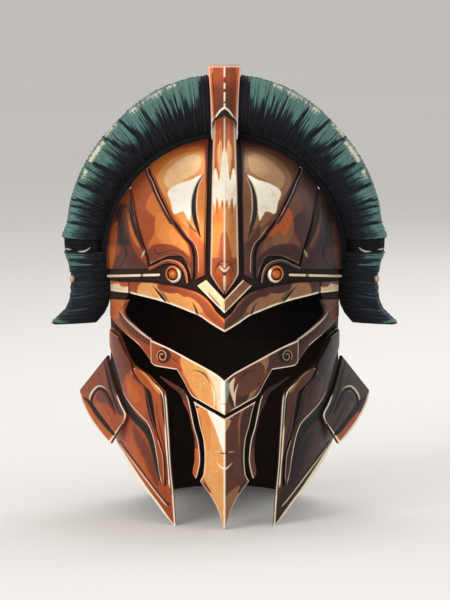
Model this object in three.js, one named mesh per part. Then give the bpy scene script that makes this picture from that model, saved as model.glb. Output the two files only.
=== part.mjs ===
// Crested corinthian helmet with an open visor slot, layered cheek plates and a
// transverse crest. Millimetres, +Z up, the face looks along -Y, the ground is z = 0.
import * as THREE from 'three';

// ---- driving sizes ---------------------------------------------------------
const BOWL_HALF_WIDTH = 109;   // outer half breadth of the bowl at its widest line
const BOWL_HALF_DEPTH = 130;   // outer half depth of the bowl
const BOWL_RISE = 111.5;       // widest line to the top of the bowl
const WIDEST_Z = 240;          // height of the widest line above the ground
const SHEET = 2;               // bronze sheet of the bowl and the neck guard
const FIT_GAP = 0.4;           // clearance left between neighbouring pieces
const PLATE_SEAT = 1;          // how far the applied plates stand off the bowl
const PLATE_TOP = 3;           // outer face of the applied plates above the bowl
const BOWL_STEP = 7.5;         // largest step of a plate's rows over the bowl, degrees
const PROW_SPREAD = 40;        // degrees each side over which the prow fades out
const BOWL_BOTTOM = 150;       // lower edge of the bowl at the sides and the back
const HOLDER_TOP = 421;        // top of the crest holder, the highest point
const HOLDER_HALF_TOP = 15.2;  // half width of the holder at its top
const HOLDER_HALF_FOOT = 10.5; // half width of the holder at the bowl
const HOLDER_RIDGE = 23;       // fore and aft reach of the holder at its centre line
const HOLDER_CORNER = 20.5;    // fore and aft reach at its corners
const RAIL_HALF = 12;          // half width of the crest base rail, fore and aft
const RAIL_TOP = 8;            // height of the rail above the bowl
const CREST_HALF = 16.5;       // half thickness of the crest, fore and aft
const BOSS_R = 8.1;            // outer radius of the brow boss ring
const BOSS_BORE = 5.7;         // inner radius of the ring
const STUD_R = 5.1;            // radius of the stud inside the ring
const FLAP_SHEET = 3;          // thickness of the neck flaps
const LIP_OUT = 2.5;           // how far the neck guard's foot is turned out

// Side wall below the widest line. z height, a half width, b half depth to the
// front, p how far the middle of the face is drawn out into a prow.
const WALL = [
  { z: 0, a: 99, b: 121, p: 8 },
  { z: 50, a: 103, b: 126, p: 8 },
  { z: 100, a: 106, b: 129, p: 8 },
  { z: 150, a: 107, b: 130, p: 8 },
  { z: 200, a: 108.5, b: 130, p: 6 },
  { z: 240, a: 109, b: 130, p: 2 },
  { z: 262, a: 107, b: 128, p: 0 },
];

// ---- surfaces --------------------------------------------------------------
const rad = (deg) => (deg * Math.PI) / 180;
const lerp = (a, b, f) => a + (b - a) * f;

function read(table, by, value, column) {
  if (value <= table[0][by]) return table[0][column];
  for (let i = 1; i < table.length; i += 1) {
    if (value <= table[i][by]) {
      const f = (value - table[i - 1][by]) / (table[i][by] - table[i - 1][by]);
      return lerp(table[i - 1][column], table[i][column], f);
    }
  }
  return table[table.length - 1][column];
}

// Bowl by its own angles: across (0 middle, 90 side) and over (0 brow, 90 top, 180 nape).
function bowl(across, over, off = 0) {
  const x = rad(across);
  const t = rad(over);
  return [
    (BOWL_HALF_WIDTH + off) * Math.sin(x),
    -(BOWL_HALF_DEPTH + off) * Math.cos(x) * Math.cos(t),
    WIDEST_Z + (BOWL_RISE + off) * Math.cos(x) * Math.sin(t),
  ];
}

// Bowl or wall by plan angle (0 front, 90 side, 180 back) and height.
function round(turn, z, off = 0, prow = 0) {
  const u = rad(turn);
  if (z > WIDEST_Z) {
    const h = Math.min(1, (z - WIDEST_Z) / (BOWL_RISE + off));
    const r = Math.sqrt(1 - h * h);
    return [(BOWL_HALF_WIDTH + off) * r * Math.sin(u), -(BOWL_HALF_DEPTH + off) * r * Math.cos(u), z];
  }
  const a = read(WALL, 'z', z, 'a') + off;
  const b = read(WALL, 'z', z, 'b') + off;
  const p = prow * read(WALL, 'z', z, 'p') * Math.max(0, 1 - Math.abs(turn) / PROW_SPREAD) ** 1.4;
  return [a * Math.sin(u), -b * Math.cos(u) - p, z];
}

// Face surface: the same wall with the prow in its middle.
const face = (turn, z, off) => round(turn, z, off, 1);

// ---- solids ----------------------------------------------------------------
class Solid {
  constructor() {
    this.points = [];
    this.index = new Map();
    this.faces = [];
  }

  point(p) {
    const key = p.map((c) => Math.round(c * 2000)).join(',');
    if (!this.index.has(key)) {
      this.index.set(key, this.points.length);
      this.points.push(p);
    }
    return this.index.get(key);
  }

  tri(a, b, c) {
    const t = [this.point(a), this.point(b), this.point(c)];
    if (t[0] !== t[1] && t[1] !== t[2] && t[2] !== t[0]) this.faces.push(t);
  }

  quad(a, b, c, d) {
    this.tri(a, b, c);
    this.tri(a, c, d);
  }

  mesh(name, look, mirror = false) {
    let volume = 0;
    for (const [i, j, k] of this.faces) {
      const [a, b, c] = [this.points[i], this.points[j], this.points[k]];
      volume += a[0] * (b[1] * c[2] - b[2] * c[1]) - a[1] * (b[0] * c[2] - b[2] * c[0]) + a[2] * (b[0] * c[1] - b[1] * c[0]);
    }
    const flip = volume < 0 !== mirror;
    const positions = [];
    for (const p of this.points) positions.push(mirror ? -p[0] : p[0], p[1], p[2]);
    const indices = [];
    for (const [i, j, k] of this.faces) indices.push(i, flip ? k : j, flip ? j : k);
    const geometry = new THREE.BufferGeometry();
    geometry.setAttribute('position', new THREE.Float32BufferAttribute(positions, 3));
    geometry.setIndex(indices);
    geometry.computeVertexNormals();
    const mesh = new THREE.Mesh(geometry, new THREE.MeshStandardMaterial(look));
    mesh.name = name;
    return mesh;
  }
}

// Closed plate between two grids of points.
function slab(outer, inner) {
  const s = new Solid();
  const n = outer.length - 1;
  const m = outer[0].length - 1;
  for (let i = 0; i < n; i += 1) {
    for (let j = 0; j < m; j += 1) {
      s.quad(outer[i][j], outer[i][j + 1], outer[i + 1][j + 1], outer[i + 1][j]);
      s.quad(inner[i][j], inner[i + 1][j], inner[i + 1][j + 1], inner[i][j + 1]);
    }
  }
  // the inner quads are split along the same diagonal as the outer ones
  for (let j = 0; j < m; j += 1) {
    s.quad(outer[0][j + 1], outer[0][j], inner[0][j], inner[0][j + 1]);
    s.quad(outer[n][j], outer[n][j + 1], inner[n][j + 1], inner[n][j]);
  }
  for (let i = 0; i < n; i += 1) {
    s.quad(outer[i][0], outer[i + 1][0], inner[i + 1][0], inner[i][0]);
    s.quad(outer[i + 1][m], outer[i][m], inner[i][m], inner[i + 1][m]);
  }
  return s;
}

// Closed bar lofted through rings of points, flat ends.
function loft(rings) {
  const s = new Solid();
  const m = rings[0].length;
  for (let i = 0; i + 1 < rings.length; i += 1) {
    for (let j = 0; j < m; j += 1) {
      const k = (j + 1) % m;
      s.quad(rings[i][j], rings[i][k], rings[i + 1][k], rings[i + 1][j]);
    }
  }
  const first = rings[0];
  const last = rings[rings.length - 1];
  for (let j = 1; j + 1 < m; j += 1) {
    s.tri(first[0], first[j + 1], first[j]);
    s.tri(last[0], last[j], last[j + 1]);
  }
  return s;
}

// One section of a plate: its two ends (s0,t0) and (s1,t1), and where given the
// t values at a quarter, half and three quarters of the way.
function section(row, steps) {
  const line = [];
  for (let k = 0; k <= steps; k += 1) {
    const f = k / steps;
    let t = lerp(row.t0, row.t1, f);
    if (row.q1 !== undefined) {
      const knots = [row.t0, row.q1, row.q2, row.q3, row.t1];
      const g = Math.min(3, Math.floor(f * 4));
      t = lerp(knots[g], knots[g + 1], f * 4 - g);
    }
    line.push([lerp(row.s0, row.s1, f), t]);
  }
  return line;
}

// Rows set further apart than the limit in one of the columns get even rows between them.
function closer(rows, columns, limit) {
  const out = [rows[0]];
  for (let i = 1; i < rows.length; i += 1) {
    const [a, b] = [rows[i - 1], rows[i]];
    const far = Math.max(...columns.map((c) => Math.abs(a[c] - b[c])));
    const parts = Math.max(1, Math.ceil(far / limit));
    for (let k = 1; k < parts; k += 1) {
      const row = {};
      for (const key of Object.keys(a)) if (key in b) row[key] = lerp(a[key], b[key], k / parts);
      out.push(row);
    }
    out.push(b);
  }
  return out;
}

function plate(rows, steps, surface, seat, top) {
  const lines = (surface === bowl ? closer(rows, ['t0', 't1'], BOWL_STEP) : rows).map((row) => section(row, steps));
  const at = (off) => lines.map((line) => line.map(([a, b]) => surface(a, b, off)));
  return slab(at(top), at(seat));
}

const both = (name, solid, look) => [
  solid.mesh(`${name}_right`, look),
  solid.mesh(`${name}_left`, look, true),
];

// ---- looks -----------------------------------------------------------------
const BRONZE = { color: 0xb5602f, metalness: 0.9, roughness: 0.38 };
const BRIGHT = { color: 0xe0b079, metalness: 0.9, roughness: 0.3 };
const DARK_BRONZE = { color: 0x5a3222, metalness: 0.85, roughness: 0.5 };
const HAIR = { color: 0x3f6660, metalness: 0, roughness: 0.9 };
const LEATHER = { color: 0x15161f, metalness: 0, roughness: 0.7 };

// ---- bowl ------------------------------------------------------------------
// The bowl is five shells with FIT_GAP between them: a crown cap, and a front, a back
// and two side shells under it. Plan angles of the columns and the lower edge there:
// over the eye slot it stops behind the brow plate, elsewhere it reaches BOWL_BOTTOM.
const BOWL_EDGE = [
  { turn: 0, z: 191 }, { turn: 7, z: 203 }, { turn: 14, z: 209 }, { turn: 22, z: 213 },
  { turn: 30, z: 216 }, { turn: 38, z: 218 }, { turn: 46, z: 219 }, { turn: 53, z: 219 },
  { turn: 59, z: 206 }, { turn: 65, z: 168 }, { turn: 72, z: BOWL_BOTTOM }, { turn: 81, z: BOWL_BOTTOM },
  { turn: 90, z: BOWL_BOTTOM }, { turn: 99, z: BOWL_BOTTOM }, { turn: 108, z: BOWL_BOTTOM },
  { turn: 117, z: BOWL_BOTTOM }, { turn: 126, z: BOWL_BOTTOM }, { turn: 135, z: BOWL_BOTTOM },
  { turn: 144, z: BOWL_BOTTOM }, { turn: 153, z: BOWL_BOTTOM }, { turn: 162, z: BOWL_BOTTOM },
  { turn: 171, z: BOWL_BOTTOM }, { turn: 180, z: BOWL_BOTTOM },
];
const CROWN_POLAR = [14, 28, 41];           // degrees down from the top
const SHELL_POLAR = [41.2, 54, 66, 78, 90];
const SKIRT = [0.3, 0.65, 1];               // shares of the way to the edge
const SHELL_ENDS = { front: 53, back: 117 }; // plan angles of the upright joints
const SHELL_GAP = 0.21;                     // FIT_GAP as a plan angle

const bowlAt = (turn, polar, off) => {
  const [u, q] = [rad(turn), rad(polar)];
  return [
    (BOWL_HALF_WIDTH + off) * Math.sin(q) * Math.sin(u),
    -(BOWL_HALF_DEPTH + off) * Math.sin(q) * Math.cos(u),
    WIDEST_Z + (BOWL_RISE + off) * Math.cos(q),
  ];
};

function skullCrown() {
  const turns = [...BOWL_EDGE.map((c) => c.turn), ...BOWL_EDGE.slice(1, -1).reverse().map((c) => 360 - c.turn)];
  const s = new Solid();
  const m = turns.length;
  const rings = [0, -SHEET].map((off) => CROWN_POLAR.map((q) => turns.map((turn) => bowlAt(turn, q, off))));
  const poles = [0, -SHEET].map((off) => [0, 0, WIDEST_Z + BOWL_RISE + off]);
  const last = CROWN_POLAR.length - 1;
  for (let j = 0; j < m; j += 1) {
    const k = (j + 1) % m;
    const [out, inn] = rings;
    s.tri(poles[0], out[0][j], out[0][k]);
    s.tri(poles[1], inn[0][k], inn[0][j]);
    for (let i = 0; i < last; i += 1) {
      s.quad(out[i][j], out[i + 1][j], out[i + 1][k], out[i][k]);
      s.quad(inn[i][j], inn[i][k], inn[i + 1][k], inn[i + 1][j]);
    }
    s.quad(out[last][j], inn[last][j], inn[last][k], out[last][k]);
  }
  return s;
}

// One shell below the crown between two plan angles of BOWL_EDGE, 0 to 180.
function skullShell(from, to, trimFrom, trimTo, whole = false) {
  let columns = BOWL_EDGE.filter((c) => c.turn >= from && c.turn <= to).map((c) => ({ ...c }));
  columns[0].turn += trimFrom;
  columns[columns.length - 1].turn -= trimTo;
  if (whole === 'front') columns = [...columns.slice(1).reverse().map((c) => ({ ...c, turn: -c.turn })), ...columns];
  if (whole === 'back') columns = [...columns, ...columns.slice(0, -1).reverse().map((c) => ({ ...c, turn: 360 - c.turn }))];
  const grid = (off) => [
    ...SHELL_POLAR.map((q) => columns.map((c) => bowlAt(c.turn, q, off))),
    ...SKIRT.map((f) => columns.map((c) => round(c.turn > 180 ? c.turn - 360 : c.turn, lerp(WIDEST_Z, c.z, f), off))),
  ];
  return slab(grid(0), grid(-SHEET));
}

// ---- neck guard ------------------------------------------------------------
// z height, w half width, d reach to the back, end plan angle from the back where
// the sheet stops, lip extra thickness outwards.
const NECK_GUARD = [
  { z: BOWL_BOTTOM - FIT_GAP, w: 107, d: 130, end: 92, lip: 0 },
  { z: 135, w: 106, d: 130, end: 90, lip: 0 },
  { z: 115, w: 104, d: 131, end: 85, lip: 0 },
  { z: 92, w: 101, d: 132.5, end: 78, lip: 0 },
  { z: 66, w: 96.5, d: 135.5, end: 68.5, lip: 0 },
  { z: 38, w: 90.5, d: 139, end: 60, lip: 0 },
  { z: 12, w: 86, d: 142.5, end: 53, lip: 0 },
  { z: 5, w: 85, d: 143.5, end: 51.5, lip: LIP_OUT },
  { z: 0, w: 84.5, d: 144, end: 50, lip: LIP_OUT },
];
const NECK_STEPS = 14;

function neckGuard() {
  const grid = (inside) => NECK_GUARD.map((r) => {
    const line = [];
    for (let k = 0; k <= NECK_STEPS; k += 1) {
      const v = rad(lerp(-r.end, r.end, k / NECK_STEPS));
      const off = inside ? -SHEET : r.lip;
      line.push([(r.w + off) * Math.sin(v), (r.d + off) * Math.cos(v), r.z]);
    }
    return line;
  });
  return slab(grid(false), grid(true));
}

// ---- applied plates of the bowl ---------------------------------------------
// s is the angle across, t the angle over the bowl, inner end first.
const FOREHEAD_PLATE = [
  { s0: 7.6, t0: 83.4, s1: 39.6, t1: 81.4 },
  { s0: 7.8, t0: 69, s1: 38.2, t1: 67.5 },
  { s0: 8, t0: 56, s1: 35.5, t1: 55 },
  { s0: 8.2, t0: 44.5, s1: 32.7, t1: 44.4 },
  { s0: 8.4, t0: 34, s1: 29.3, t1: 35 },
  { s0: 8.6, t0: 25, s1: 25.6, t1: 26 },
  { s0: 8.7, t0: 21, s1: 23.1, t1: 22.6 },
  { s0: 8.8, t0: 14, s1: 18.7, t1: 16.2 },
  { s0: 8.9, t0: 9, s1: 15, t1: 11.8 },
  { s0: 9, t0: 4, s1: 13.7, t1: 6.5 },
  { s0: 9, t0: -2.4, s1: 13.9, t1: -4.8 },
];
const SIDE_PLATE = [
  { s0: 40.6, t0: 81.2, s1: 52.1, t1: 79.4 },
  { s0: 39.1, t0: 67, s1: 51.3, t1: 66 },
  { s0: 36.4, t0: 55, s1: 49.8, t1: 53 },
  { s0: 33.7, t0: 44.4, s1: 48.3, t1: 42 },
  { s0: 30.3, t0: 35, s1: 46.8, t1: 33 },
  { s0: 26.5, t0: 26.4, s1: 45.1, t1: 25.5 },
  { s0: 24, t0: 21.8, s1: 43.5, t1: 19.8, q1: 22, q2: 22, q3: 21.2 },
  { s0: 19.6, t0: 15.6, s1: 41.8, t1: 14.5, q1: 17, q2: 17.5, q3: 16.6 },
  { s0: 16, t0: 10.8, s1: 40.2, t1: 9.6, q1: 13, q2: 13.6, q3: 12.4 },
  { s0: 14.9, t0: 3.4, s1: 38.9, t1: 5.2, q1: 9, q2: 9.8, q3: 8 },
  { s0: 15.6, t0: -5, s1: 37.8, t1: 1.6, q1: 6.6, q2: 6.4, q3: 4.4 },
];
// Temple plate: s plan angle, t height, front end first.
const TEMPLE_PLATE = [
  { s0: 77.6, t0: 305, s1: 81.6, t1: 305 },
  { s0: 61.4, t0: 294.7, s1: 82.4, t1: 294 },
  { s0: 52.7, t0: 281, s1: 82.8, t1: 280 },
  { s0: 45.5, t0: 264.4, s1: 83.2, t1: 263 },
  { s0: 42.3, t0: 256, s1: 83.3, t1: 252 },
  { s0: 39.9, t0: 246, s1: 83.4, t1: 240 },
  { s0: 38.9, t0: 238.4, s1: 83.4, t1: 230 },
];

// Band round the top of the brow boss, lower edge first.
const ARCH_BEAD = [
  { s0: 38.9, t0: -2.2, s1: 38.6, t1: 0 },
  { s0: 33.2, t0: 0.5, s1: 33.2, t1: 2.5 },
  { s0: 30, t0: 2.2, s1: 30.2, t1: 4.2 },
  { s0: 27, t0: 2.8, s1: 27, t1: 4.8 },
  { s0: 23.6, t0: 2.3, s1: 23.2, t1: 4.2 },
  { s0: 20.8, t0: 0.4, s1: 19.6, t1: 1.8 },
  { s0: 19.2, t0: -2.4, s1: 17.9, t1: -1.8 },
  { s0: 18.4, t0: -7, s1: 17.3, t1: -6.8 },
];

// ---- comb over the crown -----------------------------------------------------
// over angle along the bowl, w half width, side and ridge heights above the bowl.
const COMB_FRONT = [
  { over: -11.4, w: 1.2, side: 2.6, ridge: 3.2 },
  { over: -9, w: 4.6, side: 4.4, ridge: 6.4 },
  { over: -5.5, w: 9.2, side: 5.8, ridge: 8.8 },
  { over: -1, w: 13.3, side: 6.6, ridge: 10 },
  { over: 14, w: 12.8, side: 6.6, ridge: 10 },
  { over: 29, w: 12.3, side: 6.6, ridge: 10 },
  { over: 44, w: 11.8, side: 7, ridge: 10.4 },
  { over: 56, w: 11.4, side: 9, ridge: 12.4 },
  { over: 66, w: 11.1, side: 13, ridge: 16.4 },
  { over: 74, w: 10.9, side: 18, ridge: 22 },
  { over: 80.6, w: 10.8, side: 22.4, ridge: 30 },
];
const COMB_REAR = [
  { over: 99.4, w: 10.8, side: 22.4, ridge: 30 },
  { over: 106, w: 10.9, side: 18, ridge: 22 },
  { over: 114, w: 11, side: 13, ridge: 16.4 },
  { over: 124, w: 11, side: 9, ridge: 12.4 },
  { over: 137, w: 11, side: 7, ridge: 10.4 },
  { over: 151, w: 11, side: 6.6, ridge: 9.6 },
  { over: 166, w: 11, side: 6.4, ridge: 9.2 },
  { over: 180, w: 10.6, side: 6, ridge: 8.8 },
  { over: 194, w: 9.4, side: 5, ridge: 7.4 },
  { over: 206, w: 6.6, side: 4, ridge: 5.6 },
  { over: 212, w: 2, side: 2.4, ridge: 3 },
];
const NAPE_DROP = 2.2; // mm of height for each degree past the nape's widest line

function combRing({ over, w, side, ridge }) {
  const at = (x, off) => {
    let p;
    if (over > 180) p = round(180, WIDEST_Z - (over - 180) * NAPE_DROP, off);
    else if (over < 0) p = round(0, WIDEST_Z + BOWL_RISE * Math.sin(rad(over)), off);
    else p = bowl(0, over, off);
    const limit = HOLDER_RIDGE + FIT_GAP;
    let y = p[1];
    if (over > 70 && over < 90) y = Math.min(y, -limit);
    if (over > 90 && over < 110) y = Math.max(y, limit);
    return [x, y, p[2]];
  };
  const foot = PLATE_SEAT;
  return [at(-w, foot), at(-w, side), at(0, ridge), at(w, side), at(w, foot)];
}

// ---- crest -------------------------------------------------------------------
function crestHolder() {
  const grid = (z, half) => [-1, 0, 1].map((r) => [-1, 0, 1].map((c) => {
    const x = c * half;
    const y = r * (c === 0 ? HOLDER_RIDGE : HOLDER_CORNER);
    if (z !== null) return [x, y, z];
    const seat = WIDEST_Z + (BOWL_RISE + PLATE_SEAT) * Math.sqrt(1 - (x / BOWL_HALF_WIDTH) ** 2 - (y / BOWL_HALF_DEPTH) ** 2);
    return [x, y, seat];
  }));
  return slab(grid(HOLDER_TOP, HOLDER_HALF_TOP), grid(null, HOLDER_HALF_FOOT));
}

// down is the angle from the top of the bowl towards its side.
const RAIL_DOWN = [6.4, 16, 26, 36, 46, 56, 66, 76, 88];
function crestBase() {
  const at = (down, y, off) => [
    (BOWL_HALF_WIDTH + off) * Math.sin(rad(down)),
    y,
    WIDEST_Z + (BOWL_RISE + off) * Math.cos(rad(down)),
  ];
  const shape = [
    [-RAIL_HALF, PLATE_SEAT], [-RAIL_HALF, RAIL_TOP - 2], [-RAIL_HALF + 4, RAIL_TOP],
    [RAIL_HALF - 4, RAIL_TOP], [RAIL_HALF, RAIL_TOP - 2], [RAIL_HALF, PLATE_SEAT],
  ];
  return loft(RAIL_DOWN.map((down) => shape.map(([y, off]) => at(down, y, off))));
}

// Rows of the crest from the holder round to the flared lower tip: root x and z,
// outer x and z.
const CREST = [
  { rx: 12.2, rz: 360.4, ox: 15.4, oz: 411.2 },
  { rx: 20.5, rz: 358.5, ox: 23.2, oz: 410.4 },
  { rx: 40.3, rz: 353.2, ox: 57.8, oz: 400.2 },
  { rx: 58.9, rz: 344.3, ox: 83.2, oz: 384.8 },
  { rx: 75.6, rz: 332.2, ox: 104.5, oz: 364.6 },
  { rx: 90.1, rz: 317.4, ox: 122.7, oz: 343 },
  { rx: 101.9, rz: 300.2, ox: 136.5, oz: 318.8 },
  { rx: 110.5, rz: 281.1, ox: 145.5, oz: 293 },
  { rx: 115, rz: 265, ox: 149.3, oz: 272 },
  { rx: 116.8, rz: 256, ox: 154, oz: 259.5 },
];
const CREST_BAND = [
  { rx: 116.9, rz: 255.5, ox: 151.4, oz: 258.6 },
  { rx: 117.5, rz: 250, ox: 151.2, oz: 252 },
  { rx: 117.6, rz: 244.6, ox: 150.4, oz: 245.4 },
];
const CREST_TAIL = [
  { rx: 111.6, rz: 243.2, ox: 151.4, oz: 244.8 },
  { rx: 111.2, rz: 232, ox: 146.6, oz: 229.5 },
  { rx: 110.9, rz: 220, ox: 145.2, oz: 217 },
  { rx: 111.1, rz: 208.5, ox: 146.2, oz: 202.5 },
  { rx: 112, rz: 199, ox: 149.5, oz: 192.5 },
  { rx: 114.8, rz: 189.5, ox: 156.5, oz: 184 },
  { rx: 122.5, rz: 178.4, ox: 163.8, oz: 177.6 },
];
const CREST_SHAPE = [
  { out: 0, y: 0.55 }, { out: 0.14, y: 0.8 }, { out: 0.5, y: 1 }, { out: 0.88, y: 0.88 }, { out: 1, y: 0.5 },
];
function crest(rows, swell = 1) {
  const half = [...CREST_SHAPE.map((c) => [c.out, -c.y]), ...CREST_SHAPE.slice().reverse().map((c) => [c.out, c.y])];
  return loft(rows.map((r) => half.map(([out, y]) => [lerp(r.rx, r.ox, out), y * CREST_HALF * swell, lerp(r.rz, r.oz, out)])));
}

// ---- brow ----------------------------------------------------------------------
// s plan angle, t height; lower edge first.
const BROW_BEAD = [
  { turn: 32.2, z: 233.6 }, { turn: 42, z: 231.8 }, { turn: 53, z: 229.6 },
  { turn: 64, z: 227.2 }, { turn: 73, z: 225.2 }, { turn: 81, z: 223.4 },
];
const BEAD_R = 1.3;
function browBead() {
  return loft(BROW_BEAD.map(({ turn, z }) => [0, 60, 120, 180, 240, 300].map((q) => {
    const off = PLATE_SEAT + BEAD_R + BEAD_R * Math.cos(rad(q));
    return face(turn, z + BEAD_R * Math.sin(rad(q)), off);
  })));
}

// Frame on the bowl for the round fittings: centre, outward normal, two tangents.
function seatFrame(across, over) {
  const o = new THREE.Vector3(...bowl(across, over, 0));
  const n = new THREE.Vector3(o.x / BOWL_HALF_WIDTH ** 2, o.y / BOWL_HALF_DEPTH ** 2, (o.z - WIDEST_Z) / BOWL_RISE ** 2).normalize();
  const up = new THREE.Vector3(0, 0, 1);
  const e1 = new THREE.Vector3().crossVectors(up, n).normalize();
  const e2 = new THREE.Vector3().crossVectors(n, e1);
  return (r, angle, h) => o.clone()
    .addScaledVector(e1, r * Math.cos(rad(angle)))
    .addScaledVector(e2, r * Math.sin(rad(angle)))
    .addScaledVector(n, h)
    .toArray();
}
const BOSS_AT = { across: 25, over: -2.8 };
const ROUND_STEPS = 18;
const RING_SHAPE = [
  { r: BOSS_R, h: PLATE_SEAT }, { r: BOSS_R, h: 2.6 }, { r: 6.9, h: 3.8 }, { r: BOSS_BORE, h: 2.8 }, { r: BOSS_BORE, h: PLATE_SEAT },
];
function bossRing() {
  const put = seatFrame(BOSS_AT.across, BOSS_AT.over);
  const s = new Solid();
  for (let k = 0; k < ROUND_STEPS; k += 1) {
    const a = (k * 360) / ROUND_STEPS;
    const b = (((k + 1) % ROUND_STEPS) * 360) / ROUND_STEPS;
    for (let j = 0; j < RING_SHAPE.length; j += 1) {
      const p = RING_SHAPE[j];
      const q = RING_SHAPE[(j + 1) % RING_SHAPE.length];
      s.quad(put(p.r, a, p.h), put(p.r, b, p.h), put(q.r, b, q.h), put(q.r, a, q.h));
    }
  }
  return s;
}
const STUD_SHAPE = [{ r: STUD_R, h: PLATE_SEAT }, { r: STUD_R, h: 2.4 }, { r: 3.6, h: 4.8 }];
const STUD_TOP = 5.8;
function bossStud() {
  const put = seatFrame(BOSS_AT.across, BOSS_AT.over);
  const s = new Solid();
  for (let k = 0; k < ROUND_STEPS; k += 1) {
    const a = (k * 360) / ROUND_STEPS;
    const b = (((k + 1) % ROUND_STEPS) * 360) / ROUND_STEPS;
    for (let j = 0; j + 1 < STUD_SHAPE.length; j += 1) {
      const p = STUD_SHAPE[j];
      const q = STUD_SHAPE[j + 1];
      s.quad(put(p.r, a, p.h), put(p.r, b, p.h), put(q.r, b, q.h), put(q.r, a, q.h));
    }
    const foot = STUD_SHAPE[0];
    const cap = STUD_SHAPE[STUD_SHAPE.length - 1];
    s.tri(put(foot.r, b, foot.h), put(foot.r, a, foot.h), put(0, 0, foot.h));
    s.tri(put(cap.r, a, cap.h), put(cap.r, b, cap.h), put(0, 0, STUD_TOP));
  }
  return s;
}

// Half tables from the side to the middle; the other half is mirrored.
const mirrored = (rows) => [
  ...rows.map((r) => ({ ...r, s0: -r.s0, s1: -r.s1 })),
  ...rows.slice(0, -1).reverse(),
];
const CHEVRON = [
  { s0: 12.8, t0: 225.7, s1: 8.5, t1: 231.4 },
  { s0: 6.4, t0: 213.3, s1: 4.3, t1: 222.6 },
  { s0: 0, t0: 200.8, s1: 0, t1: 213.6 },
];
const BROW_PLATE = [
  { s0: 50.8, t0: 213.9, s1: 50.8, t1: 224.2 },
  { s0: 43.5, t0: 212.5, s1: 43.5, t1: 225.2 },
  { s0: 36.2, t0: 211, s1: 36.2, t1: 225.8 },
  { s0: 28.7, t0: 208.5, s1: 28.7, t1: 225 },
  { s0: 22, t0: 205, s1: 22, t1: 223.8 },
  { s0: 16, t0: 201, s1: 16, t1: 221.6 },
  { s0: 12, t0: 198.2, s1: 12, t1: 219 },
  { s0: 7, t0: 191.8, s1: 7, t1: 211.6 },
  { s0: 3.5, t0: 187.6, s1: 3.5, t1: 202 },
  { s0: 0, t0: 183.7, s1: 0, t1: 196 },
];
const BROW_TAB = [
  { s0: 52.6, t0: 213.8, s1: 52.2, t1: 223.8 },
  { s0: 61, t0: 212.9, s1: 61, t1: 222.6 },
  { s0: 70, t0: 212, s1: 70, t1: 221.4 },
];

// ---- visor and guard -------------------------------------------------------------
const FACE_PLATE = [
  { s0: 36.4, t0: 152.4, s1: 36.4, t1: 173.4 },
  { s0: 33.9, t0: 149.3, s1: 33.9, t1: 172 },
  { s0: 28, t0: 148.4, s1: 28, t1: 168.4 },
  { s0: 22.4, t0: 147.6, s1: 22.4, t1: 163.9 },
  { s0: 18.9, t0: 136.6, s1: 18.9, t1: 160.7 },
  { s0: 15, t0: 123.8, s1: 15, t1: 157 },
  { s0: 11.3, t0: 119.8, s1: 11.3, t1: 153.5 },
  { s0: 7.7, t0: 115.9, s1: 7.7, t1: 149.8 },
  { s0: 4, t0: 112, s1: 4, t1: 145.7 },
  { s0: 0, t0: 107.6, s1: 0, t1: 139.4 },
];
// Strap: outer edge first, slot edge second.
const VISOR_STRAP = [
  { s0: 68.9, t0: 204.6, s1: 51.5, t1: 207.6 },
  { s0: 70.8, t0: 197, s1: 54, t1: 201.5 },
  { s0: 71, t0: 189, s1: 55.5, t1: 195.9 },
  { s0: 67.5, t0: 185.6, s1: 52, t1: 189.1 },
  { s0: 63.9, t0: 183, s1: 47.5, t1: 184.4 },
  { s0: 54.5, t0: 175.4, s1: 43.9, t1: 180.7 },
  { s0: 45.7, t0: 167.6, s1: 40.2, t1: 177 },
  { s0: 37, t0: 152, s1: 37, t1: 173.7 },
];
// Guard: t0 at the side edges, q2 in the middle.
const GUARD_PLATE = [
  { s: 14.9, edge: 119.2, mid: 103.9 },
  { s: 13.7, edge: 112, mid: 98.4 },
  { s: 12, edge: 97, mid: 88 },
  { s: 10.1, edge: 81.5, mid: 77 },
  { s: 9.7, edge: 69.4, mid: 67.5 },
  { s: 10.5, edge: 50.5, mid: 50.5 },
  { s: 12.2, edge: 44.7, mid: 43.5 },
  { s: 9, edge: 36.5, mid: 36 },
  { s: 6, edge: 28.3, mid: 28.3 },
  { s: 2.5, edge: 13.4, mid: 13.4 },
  { s: 0.7, edge: 0, mid: 0 },
];
const guardRows = GUARD_PLATE.map(({ s, edge, mid }) => ({
  s0: -s, t0: edge, s1: s, t1: edge, q1: (edge + mid) / 2, q2: mid, q3: (edge + mid) / 2,
}));
const GUARD_FIN = [
  { s0: 33.2, t0: 139.8, s1: 33.4, t1: 138.6 },
  { s0: 26.4, t0: 134.4, s1: 26.8, t1: 130.6 },
  { s0: 20, t0: 128, s1: 22.2, t1: 124.4 },
  { s0: 17.8, t0: 120.5, s1: 20.2, t1: 116 },
  { s0: 16.3, t0: 108, s1: 17.8, t1: 107 },
  { s0: 14.9, t0: 95, s1: 16.4, t1: 95.6 },
  { s0: 12.8, t0: 80, s1: 14.9, t1: 80 },
  { s0: 12.2, t0: 65, s1: 15.1, t1: 65 },
  { s0: 13.4, t0: 52, s1: 16.2, t1: 52 },
  { s0: 14.4, t0: 46.5, s1: 15.3, t1: 47.2 },
];

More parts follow.
